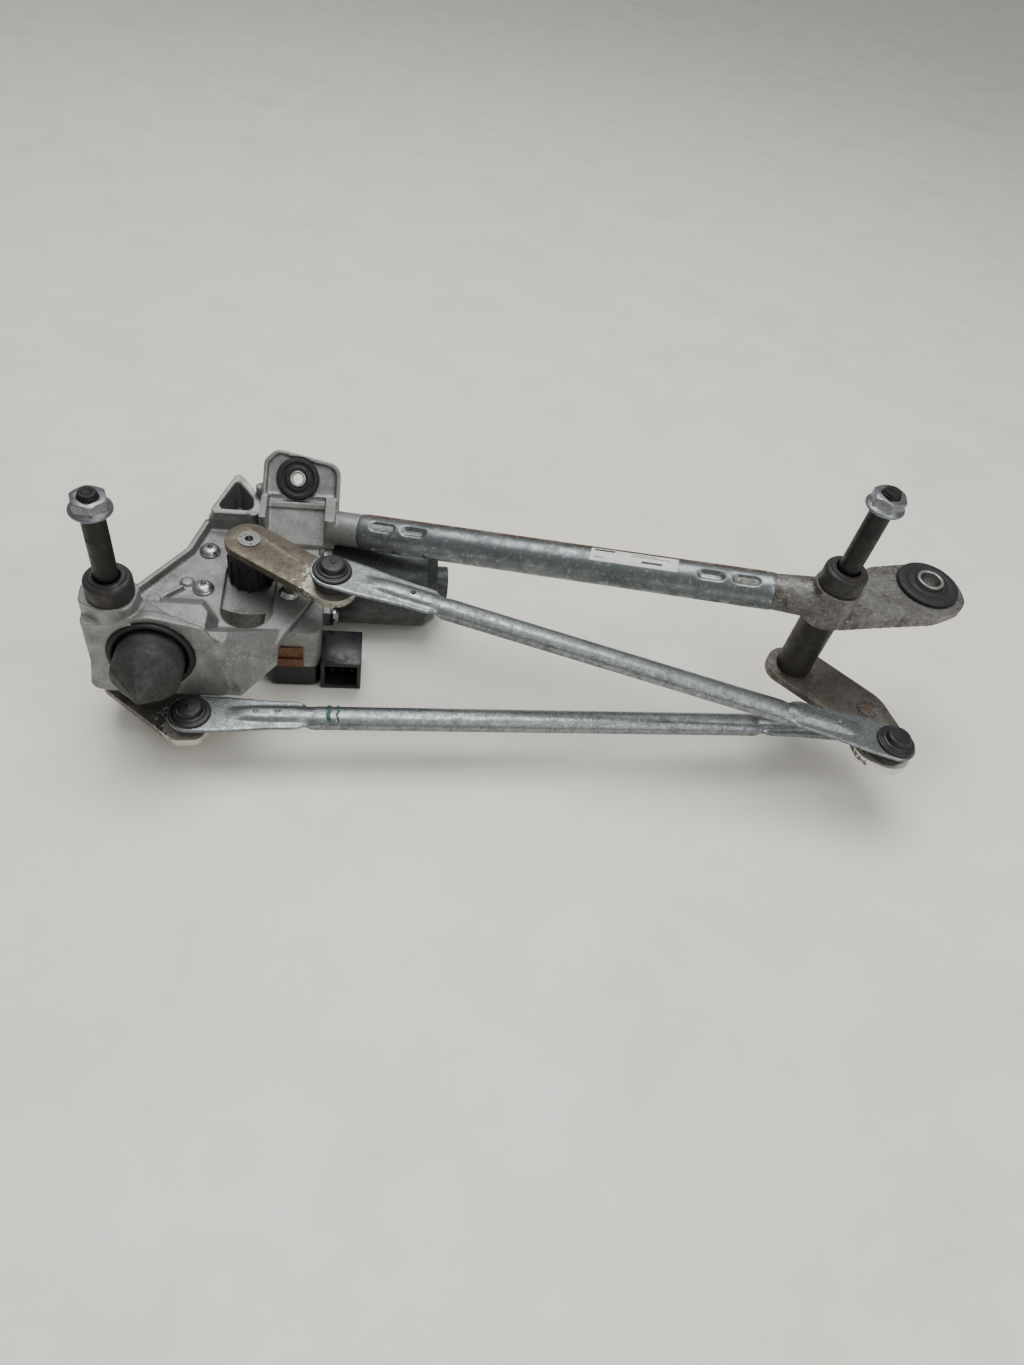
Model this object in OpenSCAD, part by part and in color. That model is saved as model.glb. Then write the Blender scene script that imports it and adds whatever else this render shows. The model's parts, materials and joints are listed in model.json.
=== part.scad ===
// Windscreen wiper linkage with its motor: two wiper spindles, a cast motor bracket, a cross tube,
// an outer pivot housing, two pressed rods on ball joints and a worm-geared reversing motor.
// The origin is on the left spindle's axis, where the wiper arm seats. +Z runs up both spindles,
// +X points from the left spindle to the right one, and -Y is the front.

/* [Spindles] */
// Distance between the two spindle axes
spindle_pitch = 391.4; // [360:1:430]
// Height of the right arm seat above the left one
right_rise = 36.6; // [20:1:45]
// Diameter of each spindle
spindle_d = 12; // [11.5:0.1:12.5]
// Diameter of the spindle's thread
thread_d = 10; // [8:0.5:10]
// Drop from the arm seat to the top of the lever
lever_drop = 124.8; // [120:0.1:130]
// Outer diameter of the bearing tube
bearing_tube_d = 21; // [20:0.5:22]
// Across flats of the spindle nut
nut_af = 16; // [15:1:17]

/* [Linkage] */
// Ball radius of the driving side of the right lever
outer_throw = 76; // [74:0.5:78]
// Direction of that ball at rest, in degrees
outer_angle = -59; // [-62:1:-56]
// Ball radius of the rod that joins the two levers
inner_throw = 50.5; // [48:0.5:54]
// Direction of those balls at rest, in degrees
inner_angle = -40.5; // [-44:0.5:-38]
// Ball radius of the motor crank
crank_throw = 59.4; // [58:0.1:60]
// Direction of the motor crank at rest, in degrees
crank_angle = -34.6; // [-36:0.1:-33]
// Thickness of the levers and the crank
lever_t = 5; // [4:0.5:6]
// Diameter of each joint ball
ball_d = 13; // [12:0.5:13]
// Width of the pressed rods
rod_w = 14; // [12:1:15]

/* [Motor] */
// Across position of the output shaft
motor_x = 62.9; // [62:0.1:64]
// Depth position of the output shaft
motor_y = 62.6; // [62:0.1:64]
// Height of the top of the motor crank
crank_top_z = -70; // [-71:0.5:-69]
// Diameter of the motor can
yoke_d = 59; // [56:0.5:60]
// Length of the motor can
yoke_len = 67; // [60:1:70]
// Teeth on the worm wheel
wheel_teeth = 48; // [48]
// Tooth module of the worm drive
gear_module = 1; // [1]

/* [Frame] */
// Outer diameter of the cross tube
tube_d = 22; // [21:0.5:23]
// Wall of the cross tube
tube_wall = 1.25; // [1:0.05:1.5]
// Height of the bracket plate's upper face
plate_top_z = -96.5; // [-97:0.5:-96]
// Thickness of the bracket plate
plate_t = 4.5; // [4:0.5:5]
// Diameter of the locating plug
plug_d = 36; // [34:0.5:37]
// Bore of the left mounting sleeve
left_sleeve_bore = 6.5; // [6:0.1:7]
// Bore of the right mounting sleeve
right_sleeve_bore = 12; // [10:0.5:12.5]

/* [Hidden] */
$fn = 64;
// Running clearance between a shaft and its bearing, on the radius
run = 0.05;
// Clearance where two bodies only pass each other
gap = 0.4;

// Main points
right_axis = [spindle_pitch, 0, right_rise];
outer_ball_xy = [spindle_pitch + outer_throw * cos(outer_angle), outer_throw * sin(outer_angle)];
inner_arm = [inner_throw * cos(inner_angle), inner_throw * sin(inner_angle)];
crank_arm_end = [motor_x + crank_throw * cos(crank_angle), motor_y + crank_throw * sin(crank_angle)];
left_lever_z = -lever_drop;
right_lever_z = right_rise - lever_drop;
// Height of a ball's centre over the face that its stud stands on
ball_lift = 8;
outer_ball = [outer_ball_xy[0], outer_ball_xy[1], right_lever_z + ball_lift];
crank_ball = [crank_arm_end[0], crank_arm_end[1], crank_top_z + ball_lift];
left_ball = [inner_arm[0], inner_arm[1], left_lever_z + ball_lift];
inner_ball = [spindle_pitch + inner_arm[0], inner_arm[1], right_lever_z - lever_t - ball_lift];

// Parts along a spindle, measured down from the arm seat
collar_top = -43;
collar_h = 13;
housing_top = collar_top - collar_h;
tube_bottom = -lever_drop + gap;
bearing_bore_d = 16;
thread_len = 10.8;
circlip_d = 16;

// Cross tube
tube_left = [127.7, 88, -81];
tube_right = [361.5, 10, -37];
spigot_d = tube_d - 2 * tube_wall;
spigot_len = 24;

// Left mounting ear and the plug face
ear_at = [87.5, 114.4, -65];
ear_tilt = 50;
plug_at = [18.4, -15.5, -87];
plug_tilt = 8;
left_eye_d = 26;
left_sleeve_d = 10;
right_eye_at = [462, 21.5, -39];
right_eye_d = 38;
right_sleeve_d = 16;
tab_z = -43.5;
tab_t = 7;

// Circle that the motor crank sweeps, kept clear above this height
sweep_r = 75;
sweep_z = -78;

// Gear housing
housing_z = plate_top_z - plate_t;
housing_h = 30;
cover_z = housing_z - housing_h;
housing_wall = 3.5;
wheel_z = -126;
wheel_face = 8;
wheel_r = gear_module * wheel_teeth / 2;
worm_r = 6;
tooth_pitch = PI * gear_module;
worm_lead_angle = atan(gear_module / (2 * worm_r));
yoke_y = motor_y + wheel_r + worm_r;
yoke_x = 110;
shaft_d = 8;
output_d = 12;
screw_xy = [[-26, 15.6], [-26, -16.2], [23.6, -16.2], [23.6, 15.6]];
cover_screw_xy = [[-33.6, 1], [-27.5, 16], [-24, -25], [9, -37], [31.6, 5]];
cover_h = 17;
boot_h = 23.4;

// Corners given as [x, y, radius] become one outline with round corners
function unit(v) = v / norm(v);
function flat(p) = [p[0], p[1]];
function corner_arc(a, b, c, r, steps) =
    let (
        u = unit(flat(a) - flat(b)),
        v = unit(flat(c) - flat(b)),
        half = acos(u * v) / 2,
        centre = flat(b) + unit(u + v) * r / sin(half),
        start = flat(b) + u * r / tan(half) - centre,
        finish = flat(b) + v * r / tan(half) - centre,
        a0 = atan2(start[1], start[0]),
        turn = (atan2(finish[1], finish[0]) - a0 + 540) % 360 - 180
    )
    [for (i = [0:steps]) centre + r * [cos(a0 + turn * i / steps), sin(a0 + turn * i / steps)]];
function rounded(p, steps = 5) = [
    for (i = [0:len(p) - 1])
        each p[i][2] > 0
            ? corner_arc(p[(i + len(p) - 1) % len(p)], p[i], p[(i + 1) % len(p)], p[i][2], steps)
            : [flat(p[i])]
];

// Puts +Z of what follows along the line from a to b, starting at a
module along(a, b) {
    d = b - a;
    translate(a) rotate([0, acos(d[2] / norm(d)), atan2(d[1], d[0])]) children();
}

// A tube or washer standing on z = 0
module ring(outer_d, inner_d, h) {
    difference() {
        cylinder(d = outer_d, h = h);
        translate([0, 0, -1]) cylinder(d = inner_d, h = h + 2);
    }
}

// Puts +Z along the left ear's bore, towards the front, with +Y up the ear
module at_ear() translate(ear_at) rotate([ear_tilt, 0, 0]) children();

// Puts +Z along the plug, towards the front, with +Y up
module at_plug() translate(plug_at) rotate([90 - plug_tilt, 0, 0]) children();

module at_motor(z) translate([motor_x, motor_y, z]) children();

// Puts +Z along the motor's axis, towards the closed end of its can
module at_yoke(x) translate([x, yoke_y, wheel_z]) rotate([0, 90, 0]) children();

// ---------------------------------------------------------------- frame

// Outline of the bracket's main plate
plate_outline = [
    [-13, -8, 3], [80, -3, 12], [85, 12, 6], [97, 37, 8], [103, 50, 6], [103, 92, 3],
    [66, 96, 2], [66, 116, 2], [32, 116, 3], [32, 101, 4], [25.5, 75.5, 12], [1, 42, 14], [-14, 16, 6]
];

module plate_window() {
    at_motor(plate_top_z - 40) hull() {
        cylinder(r = 14.6, h = 60);
        translate([0, -31.2, 0]) cylinder(r = 14.6, h = 60);
    }
}

// Wall that faces the front, and the cup that holds the plug's seat
module plug_wall() {
    at_plug() translate([0, 0, -6]) linear_extrude(6)
        polygon(rounded([
            [-29, 17, 6], [-34, -25, 5], [-24, -27, 8], [42, -29, 7], [30, 20, 8], [0, 27, 20]
        ]));
    at_plug() translate([0, 0, -20]) cylinder(r = 25.2, h = 20);
}

// High block round the left spindle, with the ramp down to the plate
module spindle_block() {
    translate([0, 0, -112]) linear_extrude(46)
        polygon(rounded([[-15, -14, 4], [14, -14, 3], [16, 6, 8], [8, 15, 8], [-8, 15, 8], [-16, 4, 6]]));
    translate([0, 0, -70]) linear_extrude(70 + housing_top)
        polygon(rounded([
            [-15.5, -6, 3], [-3, -14, 8], [12, -11, 8], [14, 7, 8], [6, 14.5, 8], [-8, 14.5, 7], [-16, 5, 4]
        ]));
    hull() {
        translate([10, -12, housing_z]) cube([34, 16, 34]);
        translate([8, 34, housing_z]) cube([30, 3, plate_t]);
        translate([40, 14, housing_z]) cube([8, 8, plate_t]);
    }
}

// Face that falls from the plate's front edge to the bottom of the plug wall
module front_lobe() {
    hull() {
        translate([44, 12, housing_z]) cube([39, 4, plate_t]);
        translate([79, -4, housing_z - 3]) cube([4, 4, plate_t]);
        translate([44, -13, -76]) cube([5, 3, 4]);
        translate([50, -18, -116]) cube([14, 5, 5]);
    }
}

module rib(from, to, top, t = 2.2, depth = 6) {
    d = to - from;
    translate([from[0], from[1], top - depth]) rotate([0, 0, atan2(d[1], d[0])])
        translate([0, -t / 2, 0]) cube([norm(d), t, depth]);
}

// Rear block that carries the cross tube and the left ear, with a sloping pocket in its front
module rear_block() {
    outline = [[-21.5, -18, 0], [25.5, -18, 0], [26, 10, 8], [-13, 17.5, 7], [-20.5, 10, 6]];
    difference() {
        translate([66, 85, housing_z]) cube([45, 35, 29]);
        translate([70, 0, 0]) rotate([90, 0, 90]) linear_extrude(35)
            polygon([[80, -97], [107, -74], [107, -40], [80, -40]]);
    }
    at_ear() translate([0, 0, -7]) linear_extrude(7) polygon(rounded(outline));
    at_ear() difference() {
        translate([0, 0, -0.1]) linear_extrude(2.5) polygon(rounded(outline));
        translate([0, 0, -1]) linear_extrude(5)
            polygon(rounded([[-19, -14, 2], [23, -14, 2], [23.3, 7.6, 6], [-12, 14.8, 5], [-18, 8.5, 4]]));
    }
}

// Hollow three-cornered tower behind the cross rib, its top rising to the back corner
module rear_tower() {
    difference() {
        translate([0, 0, housing_z]) linear_extrude(31)
            polygon(rounded([[34, 99, 2], [66, 99, 1], [64, 112, 2], [50, 127, 3]]));
        translate([0, 0, plate_top_z]) linear_extrude(31)
            polygon(rounded([[39, 102.5, 2], [61, 102.5, 2], [60, 110, 2], [50, 121, 2]]));
        translate([20, 98, plate_top_z + 13]) rotate([22, 0, 0]) cube([60, 50, 40]);
    }
    translate([61, 101, housing_z]) cylinder(d = 7, h = 19);
    translate([65, 112, housing_z]) cylinder(d = 6, h = 31);
}

module bracket_casting() {
    color("#9aa0a2") difference() {
        union() {
            translate([0, 0, housing_z]) linear_extrude(plate_t) polygon(rounded(plate_outline));
            // Front walls, cut back where the motor crank passes
            difference() {
                union() {
                    spindle_block();
                    plug_wall();
                    front_lobe();
                }
                at_motor(sweep_z) cylinder(r = sweep_r, h = 40);
            }
            rear_block();
            rear_tower();
            // Rim along the outer edge, and the ribs that run from the spindle block
            rib([-13, 16], [2, 42], plate_top_z + 5, 3.5, 12);
            rib([1, 39.6], [26.4, 75.6], plate_top_z + 5.5, 3.2, 12);
            rib([26, 74.6], [33.5, 101], plate_top_z + 6.2, 3.5, 12);
            rib([34, 100], [66, 100], plate_top_z + 9, 3, 12);
            rib([3, 25], [26, 45], plate_top_z + 4);
            rib([14, 22], [31, 27], plate_top_z + 6);
            rib([52, 4], [62, -2], plate_top_z + 1, 2.5, 8);
            translate([27.4, 50, plate_top_z - 1]) cylinder(d = 7, h = 3.5);
            translate([15.2, 20, plate_top_z - 3]) cylinder(d = 7.5, h = 21);
            // Spigot that the cross tube is crimped on
            along(tube_left - unit(tube_right - tube_left) * 21, tube_left) {
                cylinder(d = tube_d - 1, h = 20.9);
                cylinder(d = spigot_d, h = 20.9 + spigot_len);
            }
        }
        plate_window();
        // Seat for the left bearing tube
        translate([0, 0, -130]) cylinder(d = bearing_tube_d, h = 130 + 2);
        // Recess for the plug's seat
        at_plug() translate([0, 0, -4]) cylinder(d = 45, h = 20);
        // Eye for the left grommet
        at_ear() translate([0, 0, -20]) cylinder(d = left_eye_d - 4, h = 40);
        for (z = [-14, 0]) at_ear() translate([0, 0, z]) cylinder(d = left_eye_d + 0.4, h = z < 0 ? 7 : 12);
        // Saddle over the motor's flange
        at_yoke(yoke_x - 8) cylinder(d = yoke_d + 4, h = 40);
        // Screw holes over the gear housing
        for (p = screw_xy) at_motor(plate_top_z - 10) translate(p) cylinder(d = 6.6, h = 20);
        // Pocket beside the spindle
        translate([0, 0, -84]) linear_extrude(17.5)
            polygon(rounded([[-13.6, -12, 1], [-12.6, -6.6, 1], [-8, -7.6, 1], [-7, -12, 1]], 3));
    }
}

module pivot_housing() {
    color("#8b8c8a") difference() {
        union() {
            translate([spindle_pitch, 0, tab_z]) cylinder(d = 27, h = housing_top + right_rise - tab_z);
            // Spigot for the cross tube, and the swelling behind it
            along(tube_right - unit(tube_right - tube_left) * spigot_len, tube_right)
                cylinder(d = spigot_d, h = spigot_len + 12);
            along(tube_right, tube_right + unit(tube_right - tube_left) * 25)
                cylinder(d1 = tube_d - 1, d2 = 24, h = 25);
            // Flat tab that carries the right grommet
            translate([0, 0, tab_z]) linear_extrude(tab_t) polygon(rounded([
                [spindle_pitch + 4, 11, 0], [spindle_pitch + 9, -12, 0], [459, -5, 30], [484, 6, 16],
                [484, 36, 18], [464, 42, 22], [430, 36, 10]
            ]));
            translate([0, 0, tab_z - 4]) linear_extrude(5) polygon(rounded([
                [spindle_pitch + 4, 8, 0], [spindle_pitch + 9, -9, 0],
                [436, -4, 6], [436, 28, 8], [424, 30, 8]
            ]));
        }
        translate([spindle_pitch, 0, -90]) cylinder(d = bearing_tube_d, h = 90);
        translate([right_eye_at[0], right_eye_at[1], tab_z - 20]) cylinder(d = right_eye_d - 8, h = 40);
    }
}

// One rounded hollow of the crimps that lock the tube on its spigots
module crimp(at) {
    translate([0, 0, at]) hull() for (dz = [-4.5, 4.5])
        translate([tube_d / 2 + 1.1, 0, dz]) sphere(d = 5.4, $fn = 24);
}

module cross_tube() {
    length = norm(tube_right - tube_left);
    color("#8f9698") along(tube_left, tube_right) rotate([0, 0, 90]) difference() {
        ring(tube_d, spigot_d, length);
        rotate([0, 0, 100]) {
            for (at = [18, 35, length - 18, length - 35]) crimp(at);
        }
    }
}

module bearing_tube(top) {
    color("#2b2a28") translate([0, 0, top + tube_bottom])
        ring(bearing_tube_d, bearing_bore_d, -tube_bottom - 48);
}
module left_bearing_tube() bearing_tube(0);
module right_bearing_tube() translate([spindle_pitch, 0, 0]) bearing_tube(right_rise);

// Two plain bushes in each bearing tube
module bushes() {
    color("#a8793f") for (z = [tube_bottom + 1, -62])
        translate([0, 0, z]) ring(bearing_bore_d, spindle_d + 2 * run, 14);
}
module left_bushes() bushes();
module right_bushes() translate(right_axis) bushes();

// Cap with a chamfered top and a lip close to the spindle
module collar() {
    color("#2a2725") translate([0, 0, housing_top]) difference() {
        rotate_extrude() polygon([
            [0, 0], [11.6, 0], [12.3, 1], [12.3, collar_h - 3.6], [11.4, collar_h - 1.4],
            [9.8, collar_h - 0.9], [9.2, collar_h], [0, collar_h]
        ]);
        translate([0, 0, -1]) cylinder(d = spindle_d + 2 * gap, h = collar_h + 2);
        // Seat over the bearing tube, and the room for the circlip
        translate([0, 0, -1]) cylinder(d = bearing_tube_d, h = collar_h - 3.9);
        translate([0, 0, -1]) cylinder(d = circlip_d + 1, h = collar_h - 2.4);
    }
}
module left_collar() collar();
module right_collar() translate(right_axis) collar();

// Rubber eyelet: two lips with a neck in the casting's eye
module grommet(eye_d, neck_d, bore_d, eye_t, lip) {
    rotate_extrude() polygon([
        [bore_d / 2, -eye_t / 2 - lip], [eye_d / 2 - 1.5, -eye_t / 2 - lip],
        [eye_d / 2, -eye_t / 2 - lip + 1.2],
        [eye_d / 2, -eye_t / 2], [neck_d / 2, -eye_t / 2], [neck_d / 2, eye_t / 2],
        [eye_d / 2, eye_t / 2], [eye_d / 2, eye_t / 2 + lip - 1.2], [eye_d / 2 - 1.5, eye_t / 2 + lip],
        [bore_d / 2, eye_t / 2 + lip]
    ]);
}
module left_grommet() color("#1f1f1f") at_ear() translate([0, 0, -3.5])
    grommet(left_eye_d, left_eye_d - 4, left_sleeve_d, 7, 3);
module left_sleeve() color("#b9bcbc") at_ear() translate([0, 0, -10.5])
    ring(left_sleeve_d, left_sleeve_bore, 14);

module right_grommet() color("#1d1d1d") translate([right_eye_at[0], right_eye_at[1], tab_z + tab_t / 2])
    grommet(right_eye_d, right_eye_d - 8, right_sleeve_d, tab_t, 3.4);
module right_sleeve() color("#9ba09c") translate([right_eye_at[0], right_eye_at[1], tab_z - 6])
    ring(right_sleeve_d, right_sleeve_bore, tab_t + 12);

// Rubber ring round the plug, and the plug with its ribbed point
module plug_seat() color("#141414") difference() {
    at_plug() translate([0, 0, -4]) rotate_extrude() polygon([
        [12, 0], [22.5, 0], [22.5, 4.6], [21, 6], [19.4, 6], [18.6, 4], [18.4, 1.6], [12, 1.6]
    ]);
    translate([0, 0, -130]) cylinder(d = bearing_tube_d, h = 100);
}
module locating_plug() color("#232220") at_plug() translate([0, 0, -2.4]) rotate_extrude() polygon([
    [0, 0], [plug_d / 2 - 0.6, 0], [plug_d / 2 - 0.6, 4], [plug_d / 2, 6], [plug_d / 2, 19],
    [plug_d / 2 - 1.4, 20.6], [12.6, 25.6], [8.4, 30.6], [4.2, 35.6], [1.2, 38.8], [0, 39.6]
]);

// ---------------------------------------------------------------- motor and gearbox

// Pan-headed screw with a six-pointed socket, the underside of its head on z = 0
module pan_screw(head_d, thread, length) {
    difference() {
        union() {
            translate([0, 0, -length]) cylinder(d = thread, h = length);
            cylinder(d = head_d, h = head_d / 8);
            translate([0, 0, head_d / 8]) cylinder(d1 = head_d - 1, d2 = head_d * 0.66, h = head_d / 5);
        }
        for (a = [0, 60]) rotate([0, 0, a])
            translate([0, 0, head_d / 8]) cylinder(d = head_d * 0.36, h = head_d, $fn = 3);
    }
}

module motor_screws() color("#b4b6b5") for (p = screw_xy)
    at_motor(plate_top_z) translate(p) pan_screw(12.8, 6, 15);

// Shape of the gearbox's inside, seen from above and grown by g: wheel chamber and electronics bay
module chamber(g) {
    circle(r = 27.5 + g);
    polygon(rounded([
        [14 - g, -40.5 - g, 3 + g], [39.5 + g, -40.5 - g, 3 + g], [39.5 + g, -4 + g, 3 + g],
        [0, -4 + g, 0], [0, -20, 0], [14 - g, -24, 0]
    ]));
}
module cover_lugs() for (p = cover_screw_xy) translate(p) circle(r = 5);

// Round tunnel for the worm, grown by g
module worm_tunnel(g) at_yoke(motor_x - 24 - g) cylinder(d = 17 + 2 * g, h = yoke_x - motor_x + 24 - 12);

module gear_housing() {
    color("#8f9597") difference() {
        union() {
            difference() {
                union() {
                    at_motor(cover_z) linear_extrude(housing_h) chamber(housing_wall);
                    at_motor(cover_z) linear_extrude(10) cover_lugs();
                    worm_tunnel(housing_wall);
                }
                at_motor(cover_z - 1) linear_extrude(housing_h - housing_wall + 1) chamber(0);
            }
            for (p = screw_xy) at_motor(housing_z - 14) translate(p) cylinder(d = 12, h = 14);
            at_motor(housing_z - housing_wall) cylinder(d = 22, h = 17 + housing_wall);
            at_yoke(yoke_x - 14) cylinder(d1 = 28, d2 = yoke_d - 8, h = 10);
            at_yoke(yoke_x - 5) cylinder(d = yoke_d + 2, h = 5);
            at_yoke(yoke_x - 5) for (s = [-1, 1]) translate([-6, s * 33 - 6, 0]) cube([11, 12, 5]);
        }
        at_motor(cover_z - 1) cylinder(d = 16, h = 60);
        // Worm tunnel and the seats of its bearings
        worm_tunnel(0);
        at_yoke(yoke_x - 13) cylinder(d = 22, h = 14);
        for (p = screw_xy) at_motor(housing_z - 15.1) translate(p) cylinder(d = 6, h = 16);
        for (p = cover_screw_xy) at_motor(cover_z - 1) translate(p) cylinder(d = 3.2, h = 9);
        for (s = [-1, 1]) at_yoke(yoke_x - 6) translate([0, s * 35, 0]) cylinder(d = 5, h = 8);
    }
}

// Ribbed rubber boot over the output tower
module tower_boot() color("#262626") at_motor(housing_z + 0.2) difference() {
    union() {
        cylinder(d = 25, h = boot_h - 5);
        for (i = [0:11]) rotate([0, 0, i * 30]) translate([12, -0.8, 0]) cube([1.6, 1.6, boot_h - 6]);
        translate([0, 0, boot_h - 5]) cylinder(d1 = 25, d2 = 20, h = 5);
    }
    translate([0, 0, -1]) cylinder(d = 22, h = boot_h - 1);
    translate([0, 0, -1]) cylinder(d = output_d + 2 * gap, h = 40);
}

module output_bush() color("#a8793f") at_motor(housing_z - housing_wall) ring(16, output_d + 2 * run, 19);

module cover_gasket() color("#303030") difference() {
    at_motor(cover_z - 1) linear_extrude(1) difference() {
        union() {
            chamber(housing_wall);
            cover_lugs();
        }
        chamber(0);
        for (p = cover_screw_xy) translate(p) circle(d = 3.4);
    }
    worm_tunnel(housing_wall + 0.1);
}

// Deep plastic cover over the gears and the electronics
module gear_cover() color("#1e1f20") difference() {
    union() {
        at_motor(cover_z - 1 - cover_h) linear_extrude(cover_h) chamber(housing_wall - 0.6);
        at_motor(cover_z - 4) linear_extrude(3) cover_lugs();
    }
    at_motor(cover_z - 10) linear_extrude(12) chamber(0);
    at_motor(cover_z + 1 - cover_h) linear_extrude(cover_h) chamber(-1.6);
    for (p = cover_screw_xy) at_motor(cover_z - 20) translate(p) {
        cylinder(d = 3.4, h = 30);
        cylinder(d = 7, h = 16);
    }
    worm_tunnel(housing_wall + 0.1);
}

module circuit_board() color("#2f5a3a") at_motor(cover_z - 10) linear_extrude(1.6) chamber(-0.3);

// Pressed copper strip on the front of the gearbox, beside the connector
module contact_strip() color("#8a5a3c") at_motor(0) {
    translate([18, -45.2, cover_z + 1]) cube([15, 1.2, 17]);
    translate([18, -46.4, cover_z + 6]) cube([15, 1.2, 3]);
}

module cover_screws() color("#9a9c9c") for (p = cover_screw_xy)
    at_motor(cover_z - 4) translate(p) rotate([180, 0, 0]) pan_screw(6.4, 3.2, 9);

// Plug socket: a deep box beside the gearbox, open at the front
module connector_housing() color("#101112") difference() {
    translate([motor_x + 43, 18, -150]) cube([24.6, 28, 23]);
    translate([motor_x + 45.5, 10, -147.5]) cube([19.6, 24, 18]);
}
module connector_terminals() color("#b99a4a")
    for (i = [0:2], j = [0:1]) translate([motor_x + 49 + i * 6, 27, -144 + j * 8]) cube([1.6, 7, 1.6]);

module yoke() color("#6d7270") difference() {
    union() {
        at_yoke(yoke_x) cylinder(d = yoke_d, h = yoke_len - 7);
        at_yoke(yoke_x + yoke_len - 7) cylinder(d1 = yoke_d, d2 = yoke_d - 10, h = 7);
        at_yoke(yoke_x + yoke_len - 1) cylinder(d = 22, h = 9);
        at_yoke(yoke_x) for (s = [-1, 1]) translate([-6, s * 33 - 6, 0]) cube([11, 12, 2]);
    }
    at_yoke(yoke_x - 1) cylinder(d = yoke_d - 4, h = yoke_len - 6);
    at_yoke(yoke_x) cylinder(d = 19, h = yoke_len + 6);
    for (s = [-1, 1]) at_yoke(yoke_x - 1) translate([0, s * 35, 0]) cylinder(d = 5.4, h = 8);
}

// Four curved magnets on the inside of the can
module yoke_magnets() color("#4c4a48") intersection() {
    at_yoke(yoke_x + 14) ring(yoke_d - 4, yoke_d - 16, 44);
    union() for (a = [0, 90, 180, 270])
        at_yoke(yoke_x + 14) rotate([0, 0, a]) linear_extrude(44) polygon([[0, 0], [60, -35], [60, 35]]);
}

module yoke_screws() color("#9a9c9c") for (s = [-1, 1])
    at_yoke(yoke_x + 2) translate([0, s * 35, 0]) pan_screw(9, 5, 7);

module end_bearing() color("#a8793f") at_yoke(yoke_x + yoke_len - 6) ring(19, shaft_d + 2 * run, 10);
module front_bearing() color("#b8bcbe") at_yoke(yoke_x - 12) ring(22, shaft_d + 2 * run, 7);

module worm_bearing() color("#a8793f") at_yoke(motor_x - 24) ring(17, shaft_d + 2 * run, 9);

module brush_plate() color("#3a2f26") at_yoke(yoke_x + 1) ring(yoke_d - 4, 27, 3);
module brushes() color("#3b3a39") for (a = [45, 135, 225, 315])
    at_yoke(yoke_x + 4) rotate([0, 0, a]) translate([11.4, -2.5, 0]) cube([11, 5, 7]);

module armature_shaft() color("#c0c2c2")
    at_yoke(motor_x - 22) cylinder(d = shaft_d, h = yoke_x + yoke_len + 25 - motor_x);

// Single-start worm: a round core with one thread wound about it, in mesh at its middle
module worm() {
    worm_len = 16;
    thread_arc = 85;
    turned = 360 * worm_len / 2 / tooth_pitch;
    start = 270 - thread_arc / 2 - turned;
    color("#b9b9b4") at_yoke(motor_x - worm_len / 2) rotate([0, 0, start]) difference() {
        linear_extrude(worm_len, twist = -2 * turned, slices = 88)
            polygon([for (a = [0:20:340]) let (r = a > thread_arc + 1 ? worm_r - 1.25 : worm_r + 0.9)
                r * [cos(a), sin(a)]]);
        translate([0, 0, -1]) cylinder(d = shaft_d, h = worm_len + 2);
    }
}
module armature_core() color("#5b5d5f") at_yoke(yoke_x + 16) difference() {
    ring(yoke_d - 17, shaft_d, 40);
    for (a = [0:30:330]) rotate([0, 0, a]) translate([16, -2, -1]) cube([4, 4, 42]);
}
module armature_windings() color("#9c4f2a") {
    at_yoke(yoke_x + 56.2) ring(34, shaft_d + 1, 3.2);
    at_yoke(yoke_x + 12.4) ring(34, 22, 3.4);
}
module commutator() color("#b87a4a") at_yoke(yoke_x + 3) ring(22, shaft_d, 12.5);

// Worm wheel with straight slanted teeth and a long hub
module worm_wheel() color("#d8d2c0") at_motor(wheel_z) difference() {
    union() {
        translate([0, 0, -wheel_face / 2]) cylinder(r = wheel_r - 1.2, h = wheel_face);
        translate([0, 0, -9]) cylinder(d = 20, h = 18);
        for (i = [0:wheel_teeth - 1]) rotate([0, 0, (i + 0.5) * 360 / wheel_teeth])
            translate([wheel_r - 2, 0, 0]) rotate([-worm_lead_angle, 0, 0])
                translate([0, -0.5, -wheel_face / 2]) cube([2.85, 1, wheel_face]);
    }
    translate([0, 0, -20]) cylinder(d = output_d, h = 40);
}
module output_shaft() color("#aeb1b1") at_motor(0) difference() {
    union() {
        translate([0, 0, wheel_z - 11]) cylinder(d = output_d, h = 11 - wheel_z + crank_top_z);
        translate([0, 0, crank_top_z]) cylinder(d = output_d + 1, h = 0.6);
    }
    translate([0, 0, crank_top_z - 5]) cylinder(d = 5, h = 20);
}

// ---------------------------------------------------------------- linkage

// Flat lever with round ends, its top at z = 0
module lever_blank(ends) {
    translate([0, 0, -lever_t]) linear_extrude(lever_t) polygon(rounded(ends, 9));
}

module motor_crank() color("#8d8577") difference() {
    union() {
        at_motor(crank_top_z) rotate([0, 0, crank_angle]) lever_blank([
            [-14, -14, 13.5], [crank_throw + 14, -13, 12.9], [crank_throw + 14, 13, 12.9], [-14, 14, 13.5]
        ]);
        translate([crank_arm_end[0], crank_arm_end[1], crank_top_z - lever_t - 1.6])
            cylinder(d = 12, h = 1.7);
    }
    at_motor(crank_top_z - 20) cylinder(d = output_d, h = 40);
}

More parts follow.
